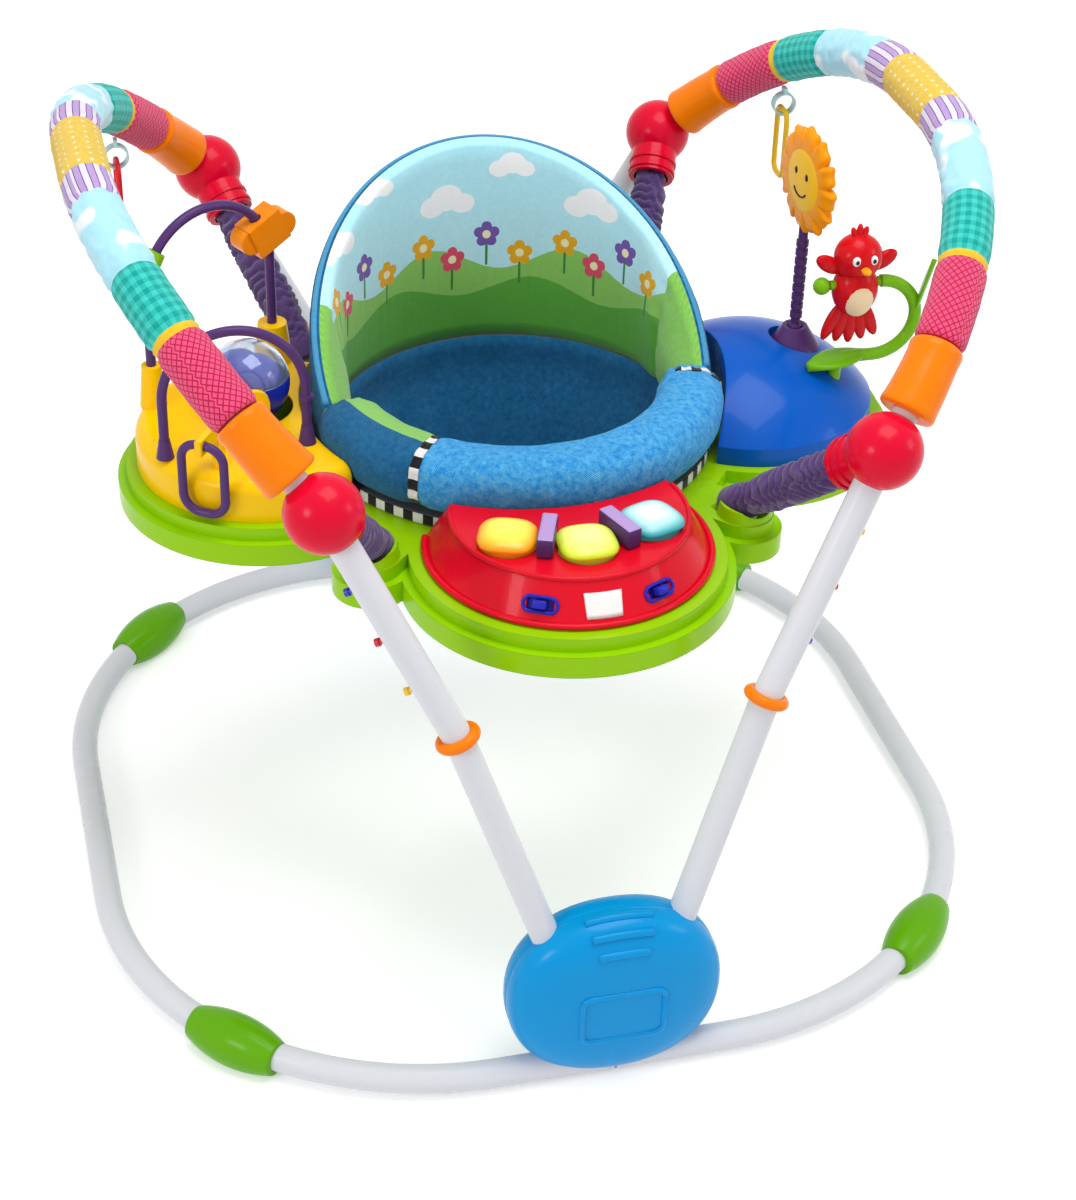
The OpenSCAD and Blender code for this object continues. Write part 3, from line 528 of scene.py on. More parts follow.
def stud_material():
    """Blue, red and yellow studs: the order up the left legs is the reverse of the right ones."""
    made, g, shader = new_material("stud_colours", Roughness=0.3)
    at = g.add("SeparateXYZ", Vector=g.add("TexCoord").outputs["Object"]).outputs
    right = g.math("GREATER_THAN", at["X"], 0.0)
    over_low, over_middle = (g.math("GREATER_THAN", at["Z"], step) for step in STUD_STEPS)
    tone = g.mix(over_low, g.mix(right, "F6C81E", "2038C0"), "D81428")
    g.link(g.mix(over_middle, tone, g.mix(right, "2038C0", "F6C81E")), shader["Base Color"])
    return made


FINISH = {slot: plastic(slot, code) for slot, code in GLOSSY.items()}
FINISH.update(
    tube_white=plastic("tube_white", "DEDFE5", wave=0.02),
    arch_steel=plastic("arch_steel", "DCDDE2", wave=0.02),
    ribbon=plastic("loop_tape", "BFE8EA", coat=0),
    clear_plastic=plastic("clear_plastic", "E8F4FF", wave=0, through=0.92),
    ring_grey=plastic("ring_grey", "5A5C60", coat=0), stud_plastic=stud_material())
for row in frame["record"]["subparts"]:
    if row["material_slot"] in FINISH:
        mesh = nodes[row["node"]].data
        mesh.materials.clear()
        mesh.materials.append(FINISH[row["material_slot"]])
print(len(FINISH), "finishes")

# %% [markdown]
# ## Patchwork arch covers
#
# Each arch is a steel tube in a padded sleeve sewn from patches: pink crosshatch, a thin yellow
# ring, teal gingham, pale blue satin with clouds, lilac stripes and a dotted yellow patch at the
# top, then the same backwards. Real patches bulge between their seams, so the radius dips at every
# seam, and the satin gets soft wrinkles.

# %% Patches
PATCHES = [("satin_yellow", 52), ("stripes", 97), ("satin_blue", 197), ("gingham", 267),
           ("ring_yellow", 275), ("crosshatch", 358)]


def patch_materials():
    """One cloth for each patch, in the order of PATCHES."""
    g, dye = cloth_base("patch_yellow_dots", depth=0.5)
    far = g.length(*(g.math("PINGPONG", side, 6) for side in g.uv()))
    dots = dye(g.mix(g.math("LESS_THAN", far, 1.6), "F4CE4C", "FFF6D8"))

    g, dye = cloth_base("patch_stripes")
    v = g.uv()[1]
    tone = g.mix(g.bands(v, 13, 6.5), "C29FD8", "F1E3F7")
    stripes = dye(g.mix(g.bands(g.math("ADD", v, 3.25), 6.5, 0.9), tone, "3C4A8C"))

    g, dye = cloth_base("patch_clouds", depth=0.15, rough=0.5, sheen=0.5)
    cloud = g.ramp(g.noise(26, 1.5), 0.56, 0.62)
    clouds = dye(g.mix(cloud, "AEE6F6", "F4FCFF"), 0.92, 1.05)

    g, dye = cloth_base("patch_gingham")
    both = g.math("ADD", *(g.bands(side, 10, 5) for side in g.uv()))
    gingham = dye(g.mix(g.math("MULTIPLY", both, 0.5), "3FD2C8", "06A599"))

    g, dye = cloth_base("patch_crosshatch", depth=0.45)
    u, v = g.uv()
    lines = [g.bands(g.math(way, u, v), 7, 1.6) for way in ("ADD", "SUBTRACT")]
    hatch = dye(g.mix(g.math("MAXIMUM", *lines), "FC5584", "BE204C"))
    return [dots, stripes, clouds, gingham, cloth("patch_yellow_ring", "F6C92E"), hatch]


PATCH_CLOTH = patch_materials()
print(len(PATCH_CLOTH), "patch cloths")

# %% Arch covers
BALL = Vector((257, 363, 625))
ARCH_TILT, ARCH_RISE, ARCH_R, ARCH_MID = radians(41), 241, 343.608, 31.718
ARCH_TURN, ARCH_RUN = radians(65), 47
COVER_HALF, COVER_STEPS, COVER_SIDES = 357.5, 286, 56
COVER_R, COVER_MAX = 24.4, 25.6


def arch_point(t, side):
    """A point of an arch's middle line, t millimetres from its top, with the way outwards."""
    turn = min(max(0.0, abs(t) - ARCH_MID) / ARCH_R, ARCH_TURN)
    sign = 1 if t >= 0 else -1
    straight = max(0.0, abs(t) - ARCH_MID - ARCH_R * ARCH_TURN)
    along = sign * (min(abs(t), ARCH_MID) + ARCH_R * sin(turn) + straight * cos(turn))
    up = ARCH_RISE - ARCH_R + ARCH_R * cos(turn) - straight * sin(turn)
    p = mm(side * (BALL.x + up * sin(ARCH_TILT)), along, BALL.z + up * cos(ARCH_TILT))
    out = Vector((side * cos(turn) * sin(ARCH_TILT), sign * sin(turn), cos(turn) * cos(ARCH_TILT)))
    return p, out


def patch_at(t):
    """Which patch a place on the cover belongs to, and how far its nearest seam is."""
    low = -PATCHES[0][1]
    for k, (_, high) in enumerate(PATCHES):
        if abs(t) <= high or k == len(PATCHES) - 1:
            return k, min(abs(t) - low, high - abs(t))
        low = high


def cover_radius(t, a, side):
    """Radius of a cover, t along the arch and at the angle a round it."""
    kind, seam = patch_at(t)
    r = COVER_R - 2.6 * exp(-(seam / 3.2) ** 2)
    r += 0.35 * ripple(t / 9, 3 * a, 4 + side)
    if PATCHES[kind][0] == "satin_blue":
        gather = 1.1 * exp(-seam / 22) * sin(9 * a + 2 * ripple(t / 8, a, 2))
        r += 0.9 * ripple(t / 5.5, 2 * a, side) + gather
    return min(r, COVER_MAX)


def build_cover(word, side):
    spots = spread(-COVER_HALF, COVER_HALF, COVER_STEPS)
    rows = []
    for t in spots:
        p, out = arch_point(t, side)
        ahead = (arch_point(t + 0.5, side)[0] - arch_point(t - 0.5, side)[0]).normalized()
        across = ahead.cross(out)
        rows.append([p + (out * cos(a) + across * sin(a))
                     * cover_radius(t, a, side) / 1000 for a in turns(COVER_SIDES)])
    around = 2 * pi * 24 / COVER_SIDES
    obj = skinned("patchwork_" + word, rows, lambda i, j: (spots[i], j * around), PATCH_CLOTH,
                  "frame", ["arch_cover_" + word],
                  lambda i, j: patch_at((spots[i] + spots[i + 1]) / 2)[0])
    return obj


for side, word in SIDES:
    cover = build_cover(word, side)
    print(cover.name, len(cover.data.polygons), "faces")

# %% [markdown]
# ## Arch sockets
#
# An orange socket closes each end of an arch cover and takes the steel tube down to the ball. It
# is a little fuller than the cover, has a rolled lip at both ends and widens towards the ball. A
# tube along the arch's own line does it, with the radius given at a few places.

# %% Sockets
ARCH_END = ARCH_MID + ARCH_R * ARCH_TURN + ARCH_RUN
SOCKET = [(109, 19.0), (108.8, 23.0), (107.6, 24.8), (105, 25.6), (101, 25.4), (97, 24.9),
          (85, 25.2), (70, 25.8), (58, 26.3), (50, 26.7), (46, 27.2), (43, 27.3), (41, 26.6),
          (39.8, 25.0), (39.4, 20.0)]


def build_socket(name, side, end):
    path = [arch_point(end * (ARCH_END - gap), side)[0] for gap, _ in SOCKET]
    return tube(name, path, lambda i, a: SOCKET[i][1] / 1000, 56, FINISH["orange_plastic"],
                "frame")


sockets = [build_socket("arch_socket_" + word + "_" + hand, side, end)
           for end, word in ENDS for side, hand in SIDES]
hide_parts("arch_sockets")
print(len(sockets), "sockets")

# %% [markdown]
# ## Gathered strap sleeves
#
# Four springs carry the tray, each hidden in a purple cloth sleeve far longer than the strap, so
# the cloth bunches into uneven rings. Even folds would look like a hose: here each fold's place,
# depth and slant wander. The foot is tucked into the tray's boss. The sleeve stretches between
# frame and tray and rides on neither body.

# %% Sleeves
BOSS = Vector((187, 205, 485))
SLEEVE_START, SLEEVE_TUCK, SLEEVE_STEPS = 43, 22, 170
SLEEVE_R, FOOT_R, FOLD_MM = 12.6, 19.4, 13.5
SLEEVE_CLOTH = cloth("sleeve_purple", "563E74", depth=0.3, sheen=0.4)


def clamp(value):
    """A number kept between 0 and 1."""
    return max(0.0, min(1.0, value))


def build_sleeve(name, sx, sy):
    top, low = (Vector((sx * end.x, sy * end.y, end.z)) for end in (BALL, BOSS))
    line = (low - top).normalized()
    length = (low - top).length
    seed = 1.3 * sx + 2.7 * sy
    spots = spread(SLEEVE_START, length + SLEEVE_TUCK, SLEEVE_STEPS)
    path = [(top + line * s) / 1000 for s in spots]

    def reach(i, a):
        s = spots[i]
        fold = s / FOLD_MM + 0.9 * ripple(s / 30, sin(a) + 0.6 * cos(2 * a), seed)
        bunch = abs(sin(pi * fold)) ** 0.7
        inner = 0.6 * ripple(s / 4, 4 * sin(a), seed + 1)
        free = clamp(min((s - 62) / 24, (length - 22 - s) / 24))
        tucked = clamp((s - length + 8) / 15)
        r = SLEEVE_R + 5.0 * bunch + inner + 3.0 * free
        return (r + (FOOT_R - r) * tucked) / 1000

    obj = tube(name, path, reach, 48, SLEEVE_CLOTH, None)
    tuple(path[8])
    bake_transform(obj)
    return obj


sleeves = [build_sleeve("sleeve_" + word + "_" + hand, sx, sy)
           for sy, word in ENDS for sx, hand in SIDES]
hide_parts("strap_sleeves", "bounce_springs")
print(len(sleeves), "sleeves")

# %% [markdown]
# ## Seat: shared places
#
# The seat turns in the tray, so every seat piece is laid out round that one axis. `seat_point`
# takes an angle from the seat's rear, a radius and a height. The ribbon is one row of black and
# white blocks, woven in; the denim is mottled by washing.

# %% Seat cloths
PAD_Z = 484.6


def seat_point(angle, radius, z):
    """A place on the seat: angle in degrees from its rear, clockwise seen from above."""
    a = radians(angle)
    return mm(radius * sin(a), radius * cos(a), z)


def checker_material():
    g, dye = cloth_base("checker_ribbon", thread=6, rough=0.8)
    return dye(g.mix(g.bands(g.uv()[0], 22, 11), "F2F2F0", "16161A"))


def denim_material(name, code, pale, mottle):
    """Slanting twill over a washed, mottled ground."""
    g, dye = cloth_base(name, thread=3.1, depth=0.6, sheen=0.08)
    twill = g.math("SINE", g.math("MULTIPLY", g.math("ADD", *g.uv()), 3.2))
    wash = g.noise(160, 5, Roughness=0.7)
    ground = g.math("MULTIPLY_ADD", wash, mottle, 0.3 - 0.5 * mottle)
    return dye(g.mix(g.math("MULTIPLY_ADD", twill, 0.15, ground), code, pale), 0.8, 1.12)


DENIM = denim_material("denim", "068CE0", "84DEFF", 1.8)
# A darker copy of the same denim: painted shade for the wall's outside, the roll's left end and the
# sling. Its mottle is the cloth's own.
DENIM_SHADED = denim_material("denim_painted_shade", "08507F", "3C90C4", 0.9)
CHECKER = checker_material()
PIPING = cloth("piping_blue", "4FA3D1", thread=7)
BOLSTER = cloth("bolster_green", "8BCF5C", depth=0.45, sheen=0.4)
print("denim, checker, piping and bolster cloth")

# %% [markdown]
# ## Front roll
#
# A stuffed roll across the front of the seat, in pale denim between two ribbon bands. Left of the
# left band it goes on in darker denim outside, a painted shade, and green inside. It is a swept
# tube, squared a little so that it sits on the ring. Stuffing pushes out between the seams, and the
# cloth puckers next to them in short waves that fade away.

# %% Roll
ROLL_R, ROLL_HALF, ROLL_D, ROLL_SEAMS = 180, 79, 66, (-40, 75)
ROLL_STEPS, ROLL_SIDES, ROLL_SWELL = 240, 56, 0.003


def roll_radius(angle, around):
    """Radius of the roll at an angle from the front and an angle round the roll."""
    seam = min(abs(angle - at) for at in ROLL_SEAMS)
    end = ROLL_HALF - abs(angle)
    r = 32.6 - 2.6 * exp(-(seam / 2.6) ** 2) - 4.5 * exp(-(end / 3.0) ** 2)
    pucker = exp(-seam / 5.0) + exp(-end / 5.0)
    r += 0.7 * pucker * sin(14 * around + 2 * ripple(angle / 9, around, 1))
    r = min(r + 0.55 * ripple(angle / 6, 2 * around, 3), ROLL_D / 2)
    r /= squared(cos(around), sin(around), 2.5)
    return r * (1 + 0.14 * max(0.0, cos(around)) ** 2)


def roll_point(angle, around, lift=0.0):
    r = roll_radius(angle, around) + lift
    return seat_point(180 - angle, ROLL_R + r * cos(around),
                      PAD_Z + ROLL_D / 2 + 0.3 + r * sin(around))


def build_roll():
    angles = spread(-ROLL_HALF, ROLL_HALF, ROLL_STEPS)
    rows = [[roll_point(angle, a) for a in turns(ROLL_SIDES)] for angle in angles]

    def cover(i, j):
        if angles[i] >= ROLL_SEAMS[0]:
            return 0
        # Left of the seam the outside takes the darker denim, which is painted shade, and the
        # inside is green.
        return 2 if 0.23 < (j + 0.5) / ROLL_SIDES < 0.75 else 1

    def sewn(n):
        angle = angles[n // ROLL_SIDES]
        return min(ROLL_HALF - abs(angle), *(abs(angle - at) for at in ROLL_SEAMS)) < 1.0

    obj = skinned("front_roll", rows, lambda i, j: (angles[i] * 3.14, j * 3.7),
                  [DENIM, DENIM_SHADED, BOLSTER], "seat", pick=cover)
    puff(obj, sewn, ROLL_SWELL)
    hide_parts("seat_roll")
    return obj


roll = build_roll()
print("front roll with", len(roll.data.polygons), "faces")

# %% [markdown]
# ## Ribbons
#
# A checked ribbon is sewn round the rim of the seat ring and one over each seam of the roll. Each
# is a thin strip that follows the surface under it.

# %% Strips
STRIP_STEPS, STRIP_THICK = 6, 0.0009
RIM_R, RIM_Z, RIM_WIDE, RIM_STEPS = 207.1, 473, 10.8, 440
BAND_FROM, BAND_REACH, BAND_WIDE, BAND_STEPS = -34, 150, 2.8, 60


def build_strip(name, places, point, material, body, along_mm, across_mm):
    """A thin sewn strip: rows along, points across, standing just off the surface under it."""
    bm = bmesh.new()
    rows = [[point(p, q) for q in spread(0, 1, STRIP_STEPS)] for p in places]
    skin_rows(bm, rows, lambda i, j: (i * along_mm, j * across_mm / STRIP_STEPS), closed=False)
    obj = piece(name, bm, [material], body)
    thicken(obj, STRIP_THICK)
    return obj


build_strip("ribbon_rim", spread(-180, 180, RIM_STEPS),
            lambda p, q: seat_point(p, RIM_R, RIM_Z + RIM_WIDE * q),
            CHECKER, "seat", 360 * 3.61 / RIM_STEPS, RIM_WIDE)
band = [radians(a) for a in spread(BAND_FROM, BAND_FROM + BAND_REACH, BAND_STEPS)]
for (_, word), seam in zip(SIDES, ROLL_SEAMS):
    build_strip("ribbon_band_" + word, band,
                lambda p, q: roll_point(seam + BAND_WIDE * (q - 0.5), p, 0.9),
                CHECKER, "seat", radians(BAND_REACH) * 34 / BAND_STEPS, 10)
print("three ribbons")

# %% [markdown]
# ## Seat back
#
# A tall padded wall stands round the rear of the seat. Outside it is plain denim, in the darker
# copy that paints its shade; inside there is a wide printed panel and a soft green bolster at each
# side. The print is a design of its own: pale sky, round clouds, rolling hills and simple flowers.
# The wall is one closed skin in cloth; its section changes with the angle.

# %% Wall section
BACK_R, BACK_T, BACK_HALF, BACK_STEPS, BACK_SWELL = 206, 22, 100, 240, 0.005
PRINT_HALF, QUILT_SEAMS, TOP_ROUND = 74, (36, 72), 7


def back_top(angle):
    return PAD_Z + 56 + 172 * cos(radians(angle * 0.9))


def bolster(angle):
    """How far the side bolsters stand in from the wall."""
    return 16 * (0.5 - 0.5 * cos(pi * clamp((abs(angle) - 56) / 24)))


def dip(angle, at, width):
    return exp(-((abs(angle) - at) / width) ** 2)


def back_section(angle):
    """The wall's section from the inner foot over the top to the outer foot: radius, height."""
    h = back_top(angle) - PAD_Z
    inner, outer = BACK_R - BACK_T, BACK_R
    swell = bolster(angle) - 5 * dip(angle, PRINT_HALF, 2.2)
    points = []
    for t in spread(0, 1, 14):
        belly = sin(pi * min(1, 0.25 + 0.75 * t)) * swell
        full = 2.6 * sin(pi * t) * (1 - dip(angle, PRINT_HALF, 6))
        crease = 0.7 * ripple(angle / 7, 9 * t, 5)
        crease += 1.0 * dip(angle, PRINT_HALF, 5) * sin(26 * t)
        points.append((max(inner - belly - full - crease, 151), (h - TOP_ROUND) * t))
    for a in spread(0, pi, 8)[1:-1]:
        points.append(((inner + outer) / 2 - (BACK_T / 2 - 0.6) * cos(a),
                       h - TOP_ROUND + 6.4 * sin(a)))
    for t in spread(0, 1, 12):
        bulge = 0.9 * ripple(angle / 6, 7 * t, 9)
        bulge -= 3.0 * sum(dip(angle, seam, 1.6) for seam in QUILT_SEAMS)
        points.append((min(outer - 1.0 + bulge, outer + 0.3), (h - TOP_ROUND) * (1 - t) + 0.3))
    return points


print(len(back_section(0)), "points round the wall's section")

# %% Print
REPEAT = 166.0
CLOUDS = ((34, 160, 15), (51, 168, 19), (70, 160, 14), (112, 196, 12), (126, 202, 15),
          (140, 196, 11))
HILLS = ((96, 14, 0.4, "93CF62"), (62, 10, 2.1, "5FAF3C"))
FLOWERS = ((22, 116, "F2B21C"), (58, 96, "E8506A"), (98, 122, "7A5BB0"), (136, 100, "F2B21C"))


def build_spot_group():
    """1 inside a round or oval spot: a place, a middle, a radius and a squeeze of its height."""
    names = ["U", "V", "Middle U", "Middle V", "Radius", "Squeeze"]
    made, g, at, out = group("print_spot", names, ["Mask"])
    dx = g.math("SUBTRACT", at["U"], at["Middle U"])
    dy = g.math("MULTIPLY", g.math("SUBTRACT", at["V"], at["Middle V"]), at["Squeeze"])
    g.link(g.math("LESS_THAN", g.length(dx, dy), at["Radius"]), out["Mask"])
    return made


SPOT = build_spot_group()


def print_material():
    """A nursery print in millimetres that repeats sideways: sky, clouds, two hills, flowers."""
    g, dye = cloth_base("seat_print", thread=4.6, depth=0.3)
    wide, v = g.uv()
    u = g.math("FLOORED_MODULO", g.math("ADD", wide, REPEAT * 2.5), REPEAT)

    def spot(cx, cy, r, squeeze=1.0):
        return g.place(SPOT, U=u, V=v, Middle_U=cx, Middle_V=cy, Radius=r, Squeeze=squeeze)["Mask"]

    tone = g.mix(g.math("DIVIDE", v, 240), "D6FBFF", "B0ECFA")
    for cx, cy, r in CLOUDS:
        tone = g.mix(spot(cx, cy, r, 1.3), tone, "FFFFFF")
    for height, swing, shift, colour in HILLS:
        wave = g.math("SINE", g.math("MULTIPLY_ADD", u, 2 * pi / REPEAT, shift))
        hill = g.math("LESS_THAN", v, g.math("MULTIPLY_ADD", wave, swing, height))
        tone = g.mix(hill, tone, colour)
    for cx, cy, colour in FLOWERS:
        near = g.math("ABSOLUTE", g.math("SUBTRACT", u, cx))
        stem = g.math("MULTIPLY", g.math("LESS_THAN", near, 1.4), spot(cx, cy - 18, 18))
        tone = g.mix(stem, tone, "3F8A34")
        for k in range(5):
            a = 2 * pi * (k + 0.25) / 5
            petal = spot(cx + 9 * cos(a), cy + 9 * sin(a), 6)
            tone = g.mix(petal, tone, colour)
        tone = g.mix(spot(cx, cy, 4.8), tone, "FFF3C4")
    return dye(tone, 0.94, 1.12)


PRINT = print_material()
print("print with", len(CLOUDS), "cloud rounds and", len(FLOWERS), "flowers in", REPEAT, "mm")

# %% Wall


def build_back():
    angles = spread(-BACK_HALF, BACK_HALF, BACK_STEPS)
    sections = [back_section(a) for a in angles]
    rows = [[seat_point(a, r, PAD_Z + h) for r, h in s] for a, s in zip(angles, sections)]
    size = len(sections[0])

    def cover(i, j):
        # The outside takes the darker denim: painted shade.
        if j >= 18:
            return 1
        return 0 if abs(angles[i] + 0.4) < PRINT_HALF else 2

    def place(i, j):
        return angles[i] * 3.35, sections[i][j][1] if j < size else 0.0

    def sewn(n):
        angle, k = abs(angles[n // size]), n % size
        at_seam = min(abs(angle - PRINT_HALF), abs(angle - BACK_HALF)) < 0.6
        return at_seam or k in (0, 1, size - 1, size - 2) or 13 <= k <= 22

    obj = skinned("seat_wall", rows, place, [PRINT, DENIM_SHADED, BOLSTER], "seat", pick=cover)
    puff(obj, sewn, BACK_SWELL)
    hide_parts("seat_back")
    return obj


back = build_back()
edge = [seat_point(a, BACK_R - 6, back_top(a) - 3.4) for a in spread(-99, 99, 160)]
tube("back_piping", edge, 0.0032, 12, PIPING, "seat")
print("seat wall with", len(back.data.polygons), "faces, piping", round(path_lengths(edge)[-1]),
      "mm long")

# %% [markdown]
# ## Sling
#
# Below the ring hangs a cloth bucket with two leg holes. It starts as rings of points from the rim
# down to the middle of the floor; the leg holes are cut out, their edges drawn onto true circles,
# and a hem goes round each. Soft upright folds start at the rim, where the cloth is gathered.

# %% Hanging cloth
LEG_HOLES = [(64, -24), (-64, -24)]
HOLE_R, HEM_R, FLOOR_Z, FLOOR_BELOW = 52.5, 2.6, 345.2, 350
SLING_SIDES, SLING_THICK = 144, 0.002
SLING = [(181.5, 484.2), (181.5, 470), (181.3, 458), (180.6, 446), (174, 432), (166, 416),
         (157, 398), (148, 381), (139, 365), (131, 352), (121, 346.4), (108, 345.6), (95, 345.4),
         (82, 345.3), (69, 345.2), (56, 345.2), (43, 345.1), (30, 345.1), (17, 345.1), (6, 345.1)]


def sling_point(a, r, z):
    """A place on the cloth, with folds that are deepest half way down."""
    fold = 2.2 + 2.2 * sin(22 * a + 1.6 * sin(3 * a))
    r -= exp(-((z - 405) / 40) ** 2) * fold
    return mm(r * sin(a), r * cos(a), z)


def in_leg_hole(corners):
    middle = sum((v.co for v in corners), Vector()) / 4 * 1000
    return middle.z < FLOOR_BELOW and any(
        hypot(middle.x - hx, middle.y - hy) < HOLE_R for hx, hy in LEG_HOLES)


def build_sling():
    bm = bmesh.new()
    made = skin_rows(bm, rings(SLING_SIDES, sling_point, SLING),
                     lambda i, j: (j * 6.0, i * 12.0), capped=False, leave_out=in_leg_hole)
    bmesh.ops.contextual_create(bm, geom=made[-1])
    loose = [v for v in bm.verts if not v.link_faces]
    bmesh.ops.delete(bm, geom=loose, context="VERTS")
    for vertex in [v for v in bm.verts if v.is_boundary and v.co.z * 1000 < FLOOR_BELOW]:
        hole = mm(*LEG_HOLES[0 if vertex.co.x > 0 else 1], vertex.co.z * 1000)
        vertex.co = hole + (vertex.co - hole).normalized() * HOLE_R / 1000
    # The sling is in the darker denim: painted shade.
    obj = piece("seat_sling_cloth", bm, [DENIM_SHADED], "seat", ["seat_sling"])
    thicken(obj, SLING_THICK)
    return obj


def build_hem(word, hx, hy):
    path = [mm(hx + HOLE_R * cos(a), hy + HOLE_R * sin(a), FLOOR_Z) for a in spread(0, 2 * pi, 72)]
    return tube("leg_hem_" + word, path, HEM_R / 1000, 12, PIPING, "seat")


sling = build_sling()
hems = [build_hem(word, *hole) for word, hole in zip(("right", "left"), LEG_HOLES)]
print("sling with", len(sling.data.polygons), "faces and", len(hems), "hems")

# %% [markdown]
# ## Sun
#
# The sun nods on its stalk above the right station: a fat disc with a ring of flame-shaped rays,
# all one moulding, and a paler face with two eyes, two cheeks and a smile. The rays are one wavy
# outline pulled round the disc and rounded at its rim; the face is a low dome set into it.

# %% Sun and face
SUN_AT, SUN_TURN = (301, -4, 726), radians(8)
SUN_SIDES, SUN_WAVES = 168, 12
SUN_RINGS = [(0.55, -6.6), (0.86, -5.6), (0.97, -3.2), (1.0, 0), (0.97, 3.2), (0.86, 5.6),
             (0.7, 6.6), (0.62, 6.6)]
SUN_FACE = plastic("sun_face", "FFC41E")
DARK = plastic("eye_dark", "2A1A14")
BLUSH = plastic("blush", "FF7A2A")


def sun_place(across, up, out):
    """A place on the sun, which faces the seat and a little to the front."""
    c, t = cos(SUN_TURN), sin(SUN_TURN)
    return mm(SUN_AT[0] - c * out + t * across, SUN_AT[1] - t * out - c * across, SUN_AT[2] + up)


def ray_place(a, share, out):
    """A place on the moulding: wavy near the rim, round further in."""
    lean = a + 0.10 * cos(SUN_WAVES * a)
    r = 49.5 + 7.6 * (abs(cos(SUN_WAVES * lean / 2)) ** 0.8 * 2 - 1)
    r = share * (r if share > 0.8 else 50)
    return sun_place(r * sin(a), r * cos(a), out)


def sun_dome(name, at, radius, rise, base, material, squeeze=1.0):
    """A low round dome on the sun: rings that shrink as they rise from the base."""
    def point(a, t):
        r, h = radius * cos(t), base + rise * sin(t)
        return sun_place(at[0] + r * sin(a), at[1] + squeeze * r * cos(a), h)

    skinned(name, rings(40, point, [(pi / 2 * min(k, 5.6) / 6,) for k in range(7)]),
            lambda i, j: (j, i), [material], "sun")


skinned("sun_rays", rings(SUN_SIDES, ray_place, SUN_RINGS), lambda i, j: (j, i),
        [FINISH["sun_orange"]], "sun", ["sun"])
sun_dome("sun_face", (0, 0), 34, 3.6, 5.4, SUN_FACE)
for side, word in SIDES:
    sun_dome("sun_eye_" + word, (11 * side, 8), 3.2, 1.4, 8.2, DARK, 1.3)
    sun_dome("sun_cheek_" + word, (19 * side, -6), 5.2, 1.6, 6.6, BLUSH)
smile = [sun_place(15 * sin(a), -1 - 15 * cos(a), 8.7) for a in spread(-0.95, 0.95, 24)]
tube("sun_smile", smile, 0.0011, 10, DARK, "sun")
print("sun with", SUN_WAVES, "rays and a face")

# %% [markdown]
# ## Bird
#
# A plain little red bird swings on the branch: a round body with a fanned tail, two small wings, a
# crest, a beak and two eyes. Each part is a ball pressed and moved with bmesh, and the parts are
# one piece.

# %% Bird from pressed balls
BIRD_AT = mm(343, -52, 623)
BIRD_FINISH = [FINISH["bird_red"], plastic("bird_belly", "F6D9B0"), plastic("eye_white", "FFFFFF"),
               DARK, plastic("beak_orange", "FFA51E")]
RED, BELLY, EYE, PUPIL, BEAK = range(len(BIRD_FINISH))


def lump(bm, at, size, index=0, turn=0.0, segments=32):
    """A pressed ball: its middle in metres, its half sizes in millimetres, its finish."""
    made = bmesh.ops.create_uvsphere(bm, u_segments=segments, v_segments=segments // 2,
                                     radius=1)["verts"]
    bmesh.ops.scale(bm, vec=mm(*size), verts=made)
    bmesh.ops.rotate(bm, cent=(0, 0, 0), matrix=Matrix.Rotation(turn, 3, "Y"), verts=made)
    bmesh.ops.translate(bm, vec=at, verts=made)
    for face in {f for v in made for f in v.link_faces}:
        face.material_index = index


def build_bird():
    bm = bmesh.new()

    def add(at, size, *more):
        lump(bm, BIRD_AT + mm(*at), size, *more)

    add((0, 0, 2), (24, 22, 29), RED)
    add((0, 0, 38), (25, 23, 24), RED)
    add((0, -9, -2), (17, 15, 22), BELLY)
    for s in (-1, 1):
        add((s * 29, 3, 30), (16, 6, 8.6), RED, s * -0.55)
        add((s * 9, -20, 42), (4.4, 3, 5.2), EYE, 0.0, 16)
        add((s * 9, -22.2, 42), (2.1, 1.4, 2.6), PUPIL, 0.0, 16)
    for k in range(-2, 3):
        add((k * 10, 4, -40 + 2.2 * abs(k)), (7, 5, 22), RED, -0.2 * k, 20)
    for k in range(-1, 2):
        add((k * 5, 2, 64 - 3 * abs(k)), (3.6, 4, 9), RED, 0.35 * k, 16)
    add((0, -25, 33), (5, 8, 3.6), BEAK, 0.0, 16)
    return piece("red_bird", bm, BIRD_FINISH, "bird", ["bird"])


bird = build_bird()
print("bird with", len(bird.data.polygons), "faces")

# %% [markdown]
# ## Hubs
#
# Each hub is two moulded shells that close round the legs and the floor tubes. They swell like a
# pebble, so the skin is one pressed ball: nearly an oval from the front, fuller in its section,
# with a fine groove where the shells meet. Three ribs lie over its top and a raised outline on
# its face.

# %% Pebble hubs
HUB_X, HUB_THICK, HUB_UP = 107, 43, 96
HUB_Y, HUB_Z = 445, 102
OVAL, FULL = 2.2, 3
HUB_SIDES, HUB_STEPS = 128, 72


def hub_point(a, turn, sy):
    """A place on a hub: the angle round it, and the turn from its rear face to its front face."""
    full = squared(cos(turn), sin(turn), FULL)
    wide = cos(turn) / full * (1 - 0.011 * exp(-(turn / 0.035) ** 2))
    r = wide / squared(cos(a), sin(a), OVAL)
    return mm(HUB_X * r * cos(a), sy * (HUB_Y + HUB_THICK * sin(turn) / full),
              HUB_Z + HUB_UP * r * sin(a))


def build_hub(name, sy):
    steps = [(turn, sy) for turn in spread(-pi / 2, pi / 2, HUB_STEPS)[1:-1]]
    skinned("hub_" + name, rings(HUB_SIDES, hub_point, steps), lambda i, j: (i * 3, j * 4),
            [FINISH["hub_blue"]], "frame", [name + "_hub_cover", name + "_hub_back"])


